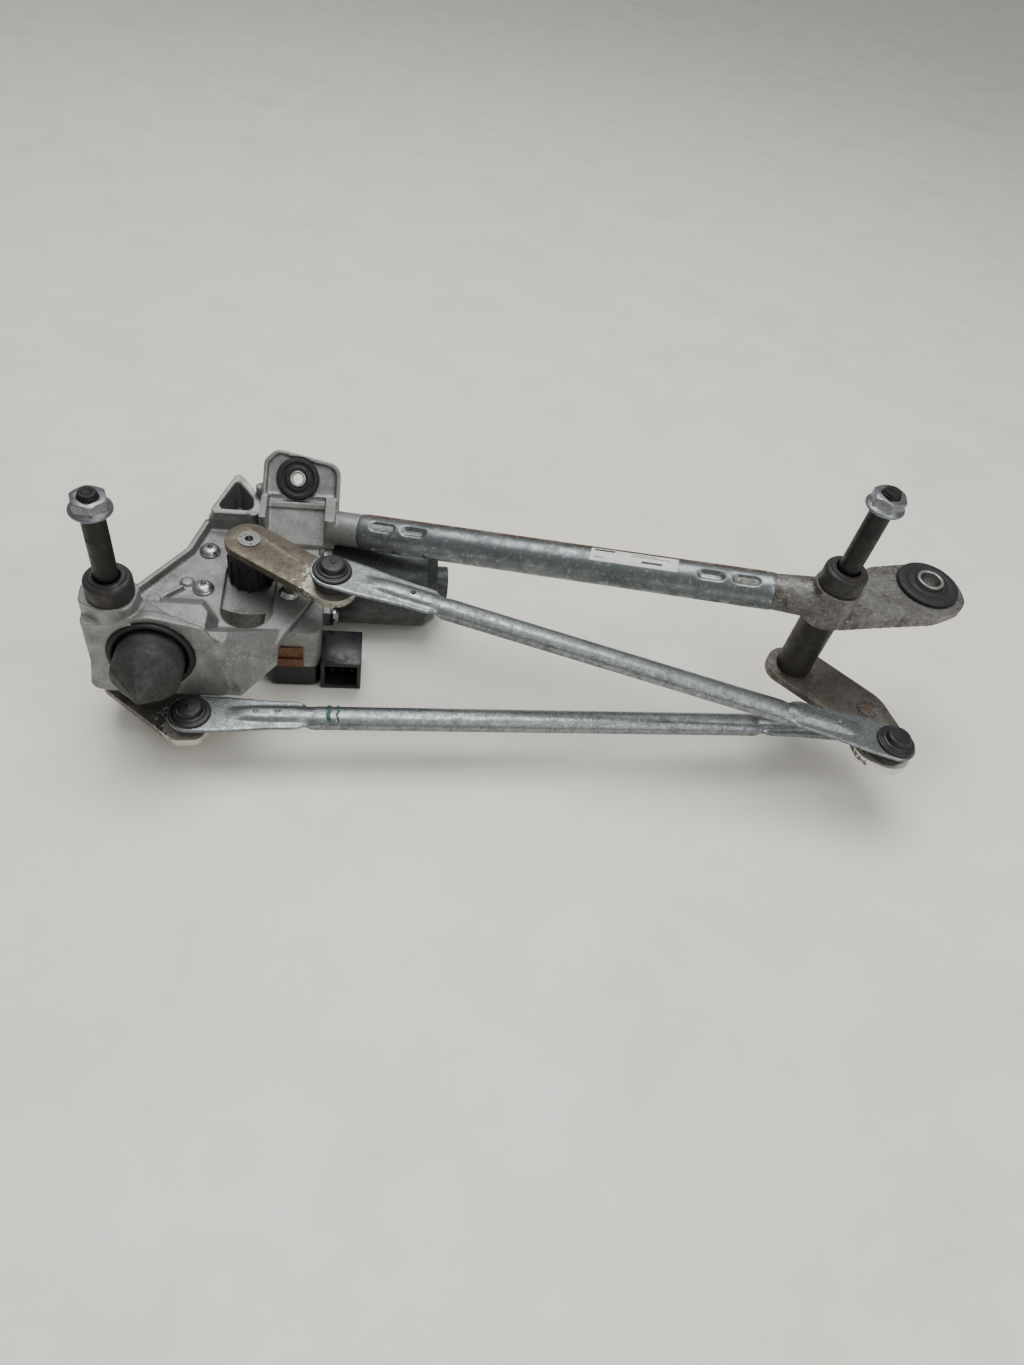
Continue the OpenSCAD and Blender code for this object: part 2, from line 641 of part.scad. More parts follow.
module spindle() {
    color("#20201f") {
        translate([0, 0, -lever_drop - 0.05]) cylinder(d = spindle_d, h = lever_drop - 2);
        translate([0, 0, -2.05]) cylinder(d1 = spindle_d, d2 = thread_d, h = 2.05);
        cylinder(d = thread_d, h = thread_len - 1);
        translate([0, 0, thread_len - 1]) cylinder(d1 = thread_d, d2 = thread_d - 2, h = 1);
        translate([0, 0, -lever_drop - lever_t]) cylinder(d = 9, h = lever_t);
        translate([0, 0, -lever_drop - lever_t - 1.8]) cylinder(d = 15, h = 1.8);
    }
}
module left_spindle() spindle();
module right_spindle() translate(right_axis) spindle();

// Flanged hexagon nut, its flange on z = 0
module flange_nut(turn) {
    color("#9d9fa3") rotate([0, 0, turn]) difference() {
        union() {
            cylinder(d = 21, h = 1.6);
            translate([0, 0, 1.6]) cylinder(d1 = 20.4, d2 = nut_af, h = 1.6);
            intersection() {
                cylinder(d = nut_af / cos(30), h = 8.2, $fn = 6);
                cylinder(d1 = 30, d2 = nut_af + 0.6, h = 8.2);
            }
        }
        translate([0, 0, -1]) cylinder(d = thread_d, h = 20);
    }
}
module left_nut() flange_nut(30);
module right_nut() translate(right_axis) flange_nut(0);

// Outline of each lever, from the spindle to its tip
module right_lever() color("#7b7670") difference() {
    translate([spindle_pitch, 0, right_lever_z]) lever_blank([
        [-9.5, 15, 13], [14, 13, 13], [50, -24, 22], [58, -58, 16],
        [46, -82, 13.5], [22, -68, 12], [20, -42, 30], [-20, -3, 13]
    ]);
    translate([spindle_pitch, 0, -120]) cylinder(d = 9, h = 60);
    for (p = [outer_ball, inner_ball]) translate([p[0], p[1], -120]) cylinder(d = 8, h = 60);
}
module left_lever() color("#7b7670") difference() {
    translate([0, 0, left_lever_z]) lever_blank([
        [-13, 14, 13], [12, 14, 13], [54, -24, 13], [43, -43, 5], [30, -44, 5], [-16, -6, 12]
    ]);
    translate([0, 0, -150]) cylinder(d = 9, h = 60);
    translate([left_ball[0], left_ball[1], -150]) cylinder(d = 8, h = 60);
}

// Ball stud, centred on its ball, with the shank running down through the lever
module ball_stud() {
    color("#a9abaa") {
        sphere(d = ball_d);
        translate([0, 0, -ball_lift]) cylinder(d = 8, h = ball_lift);
        translate([0, 0, -ball_lift]) cylinder(d = 11, h = 1);
        translate([0, 0, -ball_lift - lever_t]) cylinder(d = 8, h = lever_t);
        translate([0, 0, -ball_lift - lever_t - 1]) cylinder(d = 12, h = 1);
    }
}
module right_ball_studs() {
    translate(outer_ball) ball_stud();
    translate(inner_ball) mirror([0, 0, 1]) ball_stud();
}
module left_ball_stud() translate(left_ball) ball_stud();
// The crank's stud ends in a foot just over the crank
module crank_ball_stud() color("#a9abaa") translate(crank_ball) {
    sphere(d = ball_d);
    translate([0, 0, -ball_lift + 0.3]) cylinder(d = 8, h = ball_lift - 0.3);
    translate([0, 0, -ball_lift + 0.3]) cylinder(d = 12, h = 1.2);
}

module circlip() color("#3a3a3a") translate([0, 0, -47.7]) ring(circlip_d, spindle_d, 1);
module left_circlip() circlip();
module right_circlip() translate(right_axis) circlip();

// Lays out a rod from ball a to ball b: +X along the rod, +Z out of its upper face
module along_rod(a, b) {
    d = b - a;
    translate(a) rotate([0, 0, atan2(d[1], d[0])]) rotate([0, -asin(d[2] / norm(d)), 0]) children();
}
rod_t = 2;
// Height of the middle of a rod's plate over the balls' centres
rod_mid = 2.2;
eye_r = 12.5;
eye_bore = 17;
// Length of the flat stretch at each end of a rod
flat_len = 66;
drive_len = norm(crank_ball - outer_ball);
// The right eye of the transfer rod hangs under its ball and the left eye sits over its ball
transfer_turn = asin(2 * rod_mid / norm(left_ball - inner_ball));
transfer_len = norm(left_ball - inner_ball) * cos(transfer_turn);

// Pressed rod along +X, its plate centred on z = 0: a channel open below, with a flat eye at each end
module pressed_rod(length) {
    deep = 4.5;
    half = rod_w / 2;
    neck = [[0, eye_r], [12, eye_r], [48, half + 3], [flat_len - 2, half]];
    side = concat(neck, [for (i = [3:-1:0]) [length - neck[i][0], neck[i][1]]]);
    outline = concat(side, [for (i = [7:-1:0]) [side[i][0], -side[i][1]]]);
    color("#a3a9aa") difference() {
        union() {
            translate([0, 0, -rod_t / 2]) linear_extrude(rod_t) {
                polygon(outline);
                for (x = [0, length]) translate([x, 0]) circle(r = eye_r);
            }
            translate([flat_len - 4, 0, 0]) rotate([90, 0, 90]) linear_extrude(length - 2 * flat_len + 8)
                difference() {
                    polygon([[-half, -deep], [half, -deep], [half, 1], [3.4, 3.4], [-3.4, 3.4], [-half, 1]]);
                    translate([-half + rod_t, -deep - 1]) square([rod_w - 2 * rod_t, deep]);
                }
        }
        for (x = [0, length]) translate([x, 0, -5]) cylinder(d = eye_bore, h = 10);
        for (x = [34, 48, length - 40]) translate([x, 0, -5]) cylinder(d = 3.4, h = 10);
    }
}
// Plastic socket snapped in a rod's eye, about its ball's centre: skirt, flange and stepped dome
module socket() {
    top = rod_mid + rod_t / 2;
    difference() {
        rotate_extrude() polygon([
            [0, -4.2], [eye_bore / 2, -4.2], [eye_bore / 2, top], [11, top], [11, top + 1.6], [8.8, top + 2],
            [8.4, top + 4.6], [7, top + 5], [6.6, top + 6.4], [1.4, top + 6.6], [1, top + 7.2], [0, top + 7.2]
        ]);
        sphere(d = ball_d + 0.3);
        translate([0, 0, -5]) cylinder(d1 = 12.6, d2 = 9, h = 5);
    }
}
// Rubber boot between a socket and its lever
module boot() {
    under = rod_mid - rod_t / 2;
    foot = 1.6 - ball_lift;
    rotate_extrude() polygon([
        [eye_bore / 2, under], [eye_bore / 2, -4.2], [6, -4.2], [6, foot],
        [9.8, foot], [10.8, -3.4], [10.4, under]
    ]);
}

module on_drive() along_rod(outer_ball, crank_ball) translate([0, 0, rod_mid]) children();
module on_transfer() along_rod(inner_ball, left_ball) rotate([0, -transfer_turn, 0])
    translate([0, 0, -rod_mid]) children();
module drive_ends() on_drive() for (x = [0, drive_len]) translate([x, 0, -rod_mid]) children();
module transfer_ends() on_transfer() {
    translate([0, 0, rod_mid]) mirror([0, 0, 1]) children();
    translate([transfer_len, 0, -rod_mid]) children();
}

module drive_rod() on_drive() pressed_rod(drive_len);
module drive_rod_sockets() color("#1c1d1f") drive_ends() socket();
module drive_rod_boots() color("#121212") drive_ends() boot();

module transfer_rod() on_transfer() pressed_rod(transfer_len);
module transfer_rod_sockets() color("#1c1d1f") transfer_ends() socket();
module transfer_rod_boots() color("#121212") transfer_ends() boot();

bracket_casting();
pivot_housing();
cross_tube();
left_bearing_tube();
right_bearing_tube();
left_bushes();
right_bushes();
left_collar();
right_collar();
left_grommet();
left_sleeve();
right_grommet();
right_sleeve();
plug_seat();
locating_plug();
motor_screws();
gear_housing();
tower_boot();
output_bush();
cover_gasket();
gear_cover();
circuit_board();
contact_strip();
cover_screws();
connector_housing();
connector_terminals();
yoke();
yoke_magnets();
yoke_screws();
end_bearing();
front_bearing();
worm_bearing();
brush_plate();
brushes();
armature_shaft();
worm();
armature_core();
armature_windings();
commutator();
worm_wheel();
output_shaft();
motor_crank();
right_spindle();
right_lever();
right_nut();
right_ball_studs();
right_circlip();
left_spindle();
left_lever();
left_nut();
left_ball_stud();
left_circlip();
drive_rod();
drive_rod_sockets();
drive_rod_boots();
crank_ball_stud();
transfer_rod();
transfer_rod_sockets();
transfer_rod_boots();
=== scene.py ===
"""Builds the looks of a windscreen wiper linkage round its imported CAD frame."""

import json
import math

import bmesh
import bpy
import numpy as np
from mathutils import Matrix, Vector


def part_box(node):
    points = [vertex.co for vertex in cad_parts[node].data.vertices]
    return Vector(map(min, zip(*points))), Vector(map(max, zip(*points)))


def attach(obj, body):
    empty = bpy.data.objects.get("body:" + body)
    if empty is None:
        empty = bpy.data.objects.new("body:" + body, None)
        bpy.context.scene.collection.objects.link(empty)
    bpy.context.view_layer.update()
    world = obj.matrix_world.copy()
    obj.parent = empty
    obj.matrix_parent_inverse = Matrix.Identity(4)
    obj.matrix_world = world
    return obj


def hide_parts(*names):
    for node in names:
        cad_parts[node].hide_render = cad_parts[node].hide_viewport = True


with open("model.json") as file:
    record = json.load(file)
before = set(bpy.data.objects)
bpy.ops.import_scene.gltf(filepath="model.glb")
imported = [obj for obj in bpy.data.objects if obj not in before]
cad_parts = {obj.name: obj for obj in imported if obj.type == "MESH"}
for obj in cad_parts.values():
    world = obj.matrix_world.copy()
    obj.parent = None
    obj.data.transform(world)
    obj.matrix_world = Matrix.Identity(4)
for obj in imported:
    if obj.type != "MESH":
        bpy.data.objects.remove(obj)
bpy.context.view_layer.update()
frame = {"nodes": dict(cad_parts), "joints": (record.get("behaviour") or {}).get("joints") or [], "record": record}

bl_info = {
    "name": "Wiper Linkage Looks",
    "version": (1, 0, 0),
    "blender": (4, 5, 0),
    "location": "3D View > Sidebar > Wiper",
    "description": "Detailed pieces and finishes for a windscreen wiper linkage",
    "category": "Object",
}

MM = 0.001
UP = Vector((0.0, 0.0, 1.0))


# ------------------------------------------------------------------ places read from the frame


def joint_at(name):
    """Where a joint of the frame sits, in metres."""
    return Vector(next(j["pos_m"] for j in frame["joints"] if j["name"] == name))


def mount_at(name):
    """Place and direction of one of the record's mounts."""
    mount = next(m for m in frame["record"]["mounts"] if m["name"] == name)
    return Vector(mount["pos_m"]), Vector(mount["axis"]).normalized()


def ball_under_top(node, radius):
    """Centre of a ball that is the top of a CAD node."""
    low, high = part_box(node)
    return Vector(((low.x + high.x) / 2, (low.y + high.y) / 2, high.z - radius))


# Radius of each joint ball
BALL_R = 6.5 * MM
# Height of a rod's sheet over the centres of its two balls
ROD_LIFT = 2.2 * MM
# Outer radius of the cross tube, in millimetres
TUBE_R = 11.0
MOTOR = joint_at("crank_turn")
LEFT_SEAT, _ = mount_at("left_arm_seat")
RIGHT_SEAT, _ = mount_at("right_arm_seat")
OUTER_BALL = joint_at("drive_rod_swing")
INNER_BALL = joint_at("transfer_rod_swing")
CRANK_BALL = ball_under_top("crank_ball_stud", BALL_R)
LEFT_BALL = ball_under_top("left_ball_stud", BALL_R)
LEFT_EAR, LEFT_EAR_OUT = mount_at("left_ear_sleeve")
RIGHT_EAR, _ = mount_at("right_ear_sleeve")
PLUG, PLUG_OUT = mount_at("locating_plug")


# ------------------------------------------------------------------ modelling by hand


def unpick():
    """Nothing selected, object mode."""
    if bpy.context.object and bpy.context.object.mode != "OBJECT":
        bpy.ops.object.mode_set(mode="OBJECT")
    bpy.ops.object.select_all(action="DESELECT")


def pick(piece):
    """Only this piece selected and active."""
    unpick()
    piece.select_set(True)
    bpy.context.view_layer.objects.active = piece


def named(name):
    """Names the object that an operator just added."""
    piece = bpy.context.object
    piece.name = name
    piece.data.name = name
    return piece


def modify(piece, kind, **settings):
    """Adds one modifier and applies it."""
    pick(piece)
    step = piece.modifiers.new(kind.lower(), kind)
    for key, value in settings.items():
        setattr(step, key, value)
    bpy.ops.object.modifier_apply(modifier=step.name)


def outward(piece, merge=1e-6):
    """Merges doubles, then turns all faces outward."""
    pick(piece)
    bpy.ops.object.mode_set(mode="EDIT")
    bpy.ops.mesh.select_all(action="SELECT")
    bpy.ops.mesh.remove_doubles(threshold=merge)
    bpy.ops.mesh.normals_make_consistent(inside=False)
    bpy.ops.object.mode_set(mode="OBJECT")


def eased(points, radius, steps=3):
    """The same outline with each inner corner rounded; radius in the outline's unit."""
    out = [points[0]]
    for a, b, c in zip(points, points[1:], points[2:]):
        a, b, c = Vector(a), Vector(b), Vector(c)
        u, v = (a - b), (c - b)
        reach = min(radius, u.length * 0.45, v.length * 0.45)
        if u.normalized().dot(v.normalized()) < -0.985 or reach <= 0:
            out.append(tuple(b))
            continue
        p, q = b + u.normalized() * reach, b + v.normalized() * reach
        for i in range(steps + 1):
            t = i / steps
            out.append(tuple(p.lerp(b, t).lerp(b.lerp(q, t), t)))
    out.append(points[-1])
    return out


def turned(name, outline, steps=64, ease=0.35):
    """A piece turned about +Z from an outline of (radius, height) in millimetres."""
    unpick()
    bpy.ops.mesh.primitive_circle_add(vertices=3, radius=0.01)
    piece = named(name)
    bpy.ops.object.mode_set(mode="EDIT")
    mesh = bmesh.from_edit_mesh(piece.data)
    bmesh.ops.delete(mesh, geom=mesh.verts[:], context="VERTS")
    line = eased(outline, ease) if ease else outline
    verts = [mesh.verts.new((r * MM, 0, z * MM)) for r, z in line]
    for a, b in zip(verts, verts[1:]):
        mesh.edges.new((a, b))
    bmesh.update_edit_mesh(piece.data)
    bpy.ops.mesh.select_all(action="SELECT")
    bpy.ops.mesh.spin(steps=steps, angle=math.tau, center=(0, 0, 0), axis=(0, 0, 1))
    bpy.ops.object.mode_set(mode="OBJECT")
    outward(piece)
    return piece


def placed(piece, at, out=UP, turn=0.0):
    """Moves a piece made at the origin so that its +Z runs along out, and bakes its place in its mesh."""
    facing = out.to_track_quat("Z", "Y").to_matrix().to_4x4()
    piece.data.transform(Matrix.Translation(at) @ facing @ Matrix.Rotation(turn, 4, "Z"))
    piece.data.update()
    return piece


def copied(piece, name):
    """A copy with its own mesh."""
    twin = piece.copy()
    twin.data = piece.data.copy()
    twin.name = name
    twin.data.name = name
    bpy.context.scene.collection.objects.link(twin)
    return twin


def joined(name, pieces):
    """Several pieces as one object."""
    unpick()
    for piece in pieces:
        piece.select_set(True)
    bpy.context.view_layer.objects.active = pieces[0]
    bpy.ops.object.join()
    return named(name)


def from_cad(node, name):
    """A merged copy of a CAD node's mesh, as a start for a finer piece."""
    unpick()
    source = frame["nodes"][node]
    piece = bpy.data.objects.new(name, source.data.copy())
    bpy.context.scene.collection.objects.link(piece)
    piece.data.materials.clear()
    pick(piece)
    bpy.ops.object.mode_set(mode="EDIT")
    bpy.ops.mesh.select_all(action="SELECT")
    bpy.ops.mesh.remove_doubles(threshold=2e-6)
    bpy.ops.object.mode_set(mode="OBJECT")
    return piece


def broken_edges(piece, width, angle=35.0, segments=2):
    """Rounds the sharp edges of a machined or pressed piece."""
    pick(piece)
    bpy.ops.object.mode_set(mode="EDIT")
    bpy.ops.mesh.select_all(action="SELECT")
    bpy.ops.mesh.dissolve_limited(angle_limit=math.radians(0.5))
    bpy.ops.object.mode_set(mode="OBJECT")
    modify(piece, "BEVEL", width=width * MM, segments=segments, limit_method="ANGLE",
           angle_limit=math.radians(angle), use_clamp_overlap=True)
    return smooth(piece, 40)


def as_cast(piece, voxel, rounds):
    """Remeshes a piece finely and relaxes it, so its edges get a casting's small radii."""
    modify(piece, "REMESH", mode="VOXEL", voxel_size=voxel * MM, use_smooth_shade=True)
    modify(piece, "SMOOTH", factor=0.5, iterations=rounds)
    return smooth(piece, 60)


def smooth(piece, angle=35.0):
    """Shades smooth up to an angle between faces."""
    pick(piece)
    bpy.ops.object.shade_smooth_by_angle(angle=math.radians(angle))
    return piece


def fluted(vert, depth, lobes):
    """Moves a vertex in or out by a wave round the Z axis."""
    grow = 1 + depth * math.cos(math.atan2(vert.co.y, vert.co.x) * lobes)
    vert.co.x *= grow
    vert.co.y *= grow


def cut(piece, tool):
    """Takes a tool's shape out of a piece."""
    modify(piece, "BOOLEAN", operation="DIFFERENCE", object=tool, solver="EXACT")
    bpy.data.objects.remove(tool)


def peg(radius, depth, at, out=UP, sides=24):
    """A round tool for cutting a hole, centred on a place; sizes in millimetres."""
    unpick()
    bpy.ops.mesh.primitive_cylinder_add(vertices=sides, radius=radius * MM, depth=depth * MM)
    return placed(named("peg"), at, out)


def kept(piece, material, body, slot, *nodes):
    """Gives a finished piece its material and its body, and hides the CAD nodes it stands for; slot is not used.
    """
    piece.data.materials.clear()
    piece.data.materials.append(material)
    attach(piece, body)
    if nodes:
        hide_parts(*nodes)
    return piece


# ------------------------------------------------------------------ finishes


def colour(code):
    """An sRGB hex colour as linear RGBA."""
    parts = [int(code[i:i + 2], 16) / 255 for i in (0, 2, 4)]
    return tuple(c / 12.92 if c <= 0.04045 else ((c + 0.055) / 1.055) ** 2.4 for c in parts) + (1.0,)


def add(tree, kind, links=None, **settings):
    """Adds one node, sets its sockets and properties, and links its inputs."""
    node = tree.nodes.new("ShaderNode" + kind)
    for key, value in settings.items():
        name = key.replace("_", " ")
        socket = next((s for s in node.inputs if s.name.lower() == name.lower()), None)
        if hasattr(node, key) and not (socket and key in ("scale", "strength")):
            setattr(node, key, value)
        else:
            socket.default_value = value
    for target, source in (links or {}).items():
        socket = node.inputs[target]
        tree.links.new(source, socket)
    return node


def steps(node, stops):
    """Sets a colour ramp's stops: (position, colour)."""
    ramp = node.color_ramp
    while len(ramp.elements) > 1:
        ramp.elements.remove(ramp.elements[-1])
    ramp.elements[0].position, ramp.elements[0].color = stops[0]
    for position, value in stops[1:]:
        ramp.elements.new(position).color = value
    return node


# Radius over which a lever's tip is rubbed bare, and its softness
BARE_EDGE = 8.2 * MM
BARE_INSIDE = 7.6 * MM


def finish_of(name, base, second, stain, metal, rough, grain_mm, bump_mm, stain_mm=18.0, stain_from=0.52,
              stain_to=0.72, specks=None, speck_mm=1.2, spread=0.12, second_mm=None, bare=None, bare_at=None):
    """One finish: two close tones in patches, stains, optional specks and a bare zone, and a fine grain."""
    material = bpy.data.materials.new(name)
    material.use_nodes = True
    tree = material.node_tree
    tree.nodes.clear()
    place = add(tree, "TexCoord").outputs["Object"]

    def noise(size_mm, detail=4.0, roughness=0.6):
        return add(tree, "TexNoise", {"Vector": place}, Scale=1 / (size_mm * MM), Detail=detail,
                   Roughness=roughness).outputs["Fac"]

    grey = (0, 0, 0, 1), (1, 1, 1, 1)
    patches = noise(second_mm or stain_mm * 0.35)
    tone = steps(add(tree, "ValToRGB", {"Fac": patches}), [(0.36, colour(base)), (0.64, colour(second))])
    worn = steps(add(tree, "ValToRGB", {"Fac": noise(stain_mm, 6.0, 0.65)}),
                 [(stain_from, grey[0]), (stain_to, grey[1])])
    mixed = add(tree, "Mix", data_type="RGBA")
    tree.links.new(worn.outputs["Color"], mixed.inputs[0])
    tree.links.new(tone.outputs["Color"], mixed.inputs[6])
    mixed.inputs[7].default_value = colour(stain)
    result = mixed.outputs[2]
    if specks:
        dots = steps(add(tree, "ValToRGB", {"Fac": noise(speck_mm, 2.0, 0.5)}),
                     [(0.57, grey[0]), (0.74, grey[1])])
        speckled = add(tree, "Mix", data_type="RGBA")
        tree.links.new(dots.outputs["Color"], speckled.inputs[0])
        tree.links.new(result, speckled.inputs[6])
        speckled.inputs[7].default_value = colour(specks)
        result = speckled.outputs[2]
    if bare:
        # Rubbed bare within a radius of a place, with a ragged edge
        away = add(tree, "VectorMath", {0: place}, operation="DISTANCE")
        away.inputs[1].default_value = bare_at
        ragged = add(tree, "Math", {0: away.outputs["Value"], 1: noise(3.0)}, operation="MULTIPLY")
        near = add(tree, "MapRange", {"Value": ragged.outputs["Value"]}, From_Min=BARE_EDGE,
                   From_Max=BARE_INSIDE, To_Min=0.0, To_Max=1.0)
        rubbed = add(tree, "Mix", data_type="RGBA")
        tree.links.new(near.outputs["Result"], rubbed.inputs[0])
        tree.links.new(result, rubbed.inputs[6])
        rubbed.inputs[7].default_value = colour(bare)
        result = rubbed.outputs[2]
    sheen = add(tree, "MapRange", {"Value": patches}, From_Min=0.3, From_Max=0.7, To_Min=rough - spread,
                To_Max=rough + spread)
    grain = add(tree, "Bump", {"Height": noise(grain_mm, 3.0, 0.7)}, Strength=0.9, Distance=bump_mm * MM)
    shader = add(tree, "BsdfPrincipled", {"Base Color": result, "Roughness": sheen.outputs["Result"],
                                          "Normal": grain.outputs["Normal"]}, Metallic=metal)
    out = tree.nodes.new("ShaderNodeOutputMaterial")
    tree.links.new(shader.outputs["BSDF"], out.inputs["Surface"])
    return material


FINISHES = {}


def make_finishes():
    """All finishes, each named for the real material and how its surface was made."""
    oiled = dict(base="736c60", second="5d564c", stain="463a2f", metal=0.8, rough=0.48, grain_mm=0.7,
                 bump_mm=0.10, stain_mm=12, stain_from=0.50, stain_to=0.78, specks="8a8478", speck_mm=1.0)
    greyer = dict(oiled, base="77746d", second="5f5c56", stain="443b33")
    under = UP * 8 * MM
    table = {
        # Die-cast aluminium, shot-blasted: pale, dull, sandy, with grey handling marks
        "cast_aluminium": dict(base="8f908e", second="7f807e", stain="5f5b56", metal=0.75, rough=0.48,
                               grain_mm=0.55, bump_mm=0.18, stain_mm=26, stain_from=0.52, stain_to=0.76,
                               specks="a3a4a2", speck_mm=1.2),
        # The same casting weathered near the road side: darker, blotched and pitted
        "weathered_casting": dict(base="7c7b78", second="666461", stain="453f39", metal=0.7, rough=0.5,
                                  grain_mm=1.0, bump_mm=0.35, stain_mm=13, stain_from=0.46, stain_to=0.72,
                                  specks="979692", speck_mm=1.5),
        # Zinc-dipped sheet steel: soft spangle, bright specks where it is rubbed
        "galvanised_sheet": dict(base="8d9192", second="6f7476", stain="565a5b", metal=0.9, rough=0.36,
                                 grain_mm=0.9, bump_mm=0.14, stain_mm=9, stain_from=0.52, stain_to=0.80,
                                 specks="b6babb", speck_mm=0.9),
        "galvanised_tube": dict(base="7d8384", second="666c6d", stain="4c4e4c", metal=0.9, rough=0.38,
                                grain_mm=1.4, bump_mm=0.08, stain_mm=22, stain_from=0.54, stain_to=0.78,
                                specks="9aa0a1", speck_mm=2.4),
        # Plain pressed steel, oiled and slightly rusted: brown-grey and dull
        "oiled_steel": dict(**oiled, bare="a9a698", bare_at=CRANK_BALL - under),
        "right_lever_steel": dict(**greyer, bare="dcdbd2", bare_at=OUTER_BALL - under),
        "left_lever_steel": dict(**greyer, bare="c9c7bc", bare_at=LEFT_BALL - under),
        # Rust on an upset rivet head
        "rusted_steel": dict(base="6b5446", second="574337", stain="3d2f27", metal=0.3, rough=0.75,
                             grain_mm=0.5, bump_mm=0.12, stain_mm=4),
        # Zinc-flake nuts: smooth mid grey with a soft shine
        "zinc_flake": dict(base="85888c", second="74777b", stain="55575a", metal=0.92, rough=0.34,
                           grain_mm=0.4, bump_mm=0.04, stain_mm=7, stain_from=0.58, stain_to=0.85),
        # Bright zinc screws
        "bright_zinc": dict(base="b4b5b3", second="9fa09e", stain="77736c", metal=0.95, rough=0.30,
                            grain_mm=0.5, bump_mm=0.012, stain_mm=5, stain_from=0.60, stain_to=0.85),
        # Ground steel of studs, shafts and bearings
        "ground_steel": dict(base="b0b0ae", second="a0a09e", stain="7d7b77", metal=1.0, rough=0.28,
                             grain_mm=0.3, bump_mm=0.02, stain_mm=6, stain_from=0.62, stain_to=0.85),
        # Phosphated and oiled steel of the spindles: near black with a slight grain
        "black_oxide": dict(base="171615", second="0f0f0e", stain="26221f", metal=0.35, rough=0.46,
                            grain_mm=0.6, bump_mm=0.08, stain_mm=9, stain_from=0.55, stain_to=0.80),
        # Black-brown baked coating of the bearing tubes
        "dark_coating": dict(base="2b2825", second="211f1d", stain="3c342d", metal=0.3, rough=0.50,
                             grain_mm=0.9, bump_mm=0.10, stain_mm=12, stain_from=0.50, stain_to=0.78),
        # Glass-filled nylon of caps and sockets
        "black_nylon": dict(base="1b1c1e", second="141517", stain="2a2a2b", metal=0.0, rough=0.42,
                            grain_mm=0.35, bump_mm=0.03, stain_mm=8, stain_from=0.56, stain_to=0.82),
        # The collars' nylon, browned by dust
        "dusty_nylon": dict(base="242120", second="1a1817", stain="3b342e", metal=0.0, rough=0.55,
                            grain_mm=0.6, bump_mm=0.06, stain_mm=10, stain_from=0.50, stain_to=0.80),
        # Moulded rubber, matt
        "black_rubber": dict(base="161616", second="101010", stain="242322", metal=0.0, rough=0.62,
                             grain_mm=0.5, bump_mm=0.05, stain_mm=8, stain_from=0.55, stain_to=0.80),
        # The plug's rubber, greyed by dust and handling
        "dusty_rubber": dict(base="2c2a29", second="232120", stain="413e3b", metal=0.0, rough=0.66,
                             grain_mm=0.8, bump_mm=0.07, stain_mm=9, stain_from=0.48, stain_to=0.78),
        # Zinc-passivated motor can, dark grey with a green cast
        "passivated_can": dict(base="474b4a", second="3b3f3e", stain="2c2f2e", metal=0.7, rough=0.42,
                               grain_mm=0.7, bump_mm=0.05, stain_mm=16, stain_from=0.52, stain_to=0.80,
                               specks="5c6160", speck_mm=1.5),
        # Tin-plated pins, dulled
        "tinned_pins": dict(base="7d7a72", second="6c6962", stain="4b4842", metal=0.9, rough=0.4,
                            grain_mm=0.3, bump_mm=0.02, stain_mm=3),
        "connector_nylon": dict(base="101113", second="0c0d0e", stain="1b1c1e", metal=0.0, rough=0.36,
                                grain_mm=0.4, bump_mm=0.02, stain_mm=10),
        "spring_copper": dict(base="7a5946", second="664838", stain="46332a", metal=0.85, rough=0.42,
                              grain_mm=0.4, bump_mm=0.04, stain_mm=5),
        "sintered_bronze": dict(base="8f6a3c", second="7c5a32", stain="54402a", metal=0.85, rough=0.5,
                                grain_mm=0.3, bump_mm=0.05, stain_mm=5),
        "natural_nylon": dict(base="cfc6ab", second="c2b898", stain="9a8d6c", metal=0.0, rough=0.45,
                              grain_mm=0.5, bump_mm=0.03, stain_mm=8, stain_from=0.60, stain_to=0.85),
        "core_laminations": dict(base="5c5d5f", second="4c4d4f", stain="37383a", metal=0.85, rough=0.5,
                                 grain_mm=0.5, bump_mm=0.06, stain_mm=6),
        "sintered_ferrite": dict(base="2b2b2c", second="222223", stain="181819", metal=0.1, rough=0.6,
                                 grain_mm=0.4, bump_mm=0.05, stain_mm=6),
        "enamelled_copper": dict(base="8c3f22", second="73311a", stain="4d2413", metal=0.6, rough=0.35,
                                 grain_mm=0.5, bump_mm=0.12, stain_mm=5),
        "pressed_carbon": dict(base="1c1c1c", second="151515", stain="242424", metal=0.0, rough=0.7,
                               grain_mm=0.3, bump_mm=0.04, stain_mm=5),
        "board_laminate": dict(base="1f4a2c", second="1a3f26", stain="122c1b", metal=0.0, rough=0.4,
                               grain_mm=0.6, bump_mm=0.02, stain_mm=8),
        "label_paper": dict(base="d9d9d6", second="cfcfcc", stain="b3b1ab", metal=0.0, rough=0.55,
                            grain_mm=0.5, bump_mm=0.01, stain_mm=9, stain_from=0.60, stain_to=0.85),
        "label_ink": dict(base="26282a", second="202224", stain="303234", metal=0.0, rough=0.6,
                          grain_mm=0.5, bump_mm=0.01, stain_mm=5),
        "green_marker": dict(base="20473f", second="183a33", stain="2a5148", metal=0.0, rough=0.5,
                             grain_mm=0.6, bump_mm=0.02, stain_mm=4),
        "rust_stain": dict(base="5d473a", second="4a382e", stain="7a7570", metal=0.35, rough=0.68,
                           grain_mm=0.8, bump_mm=0.08, stain_mm=7, stain_from=0.50, stain_to=0.66),
    }
    for name, settings in table.items():
        FINISHES[name] = finish_of(name, **settings)


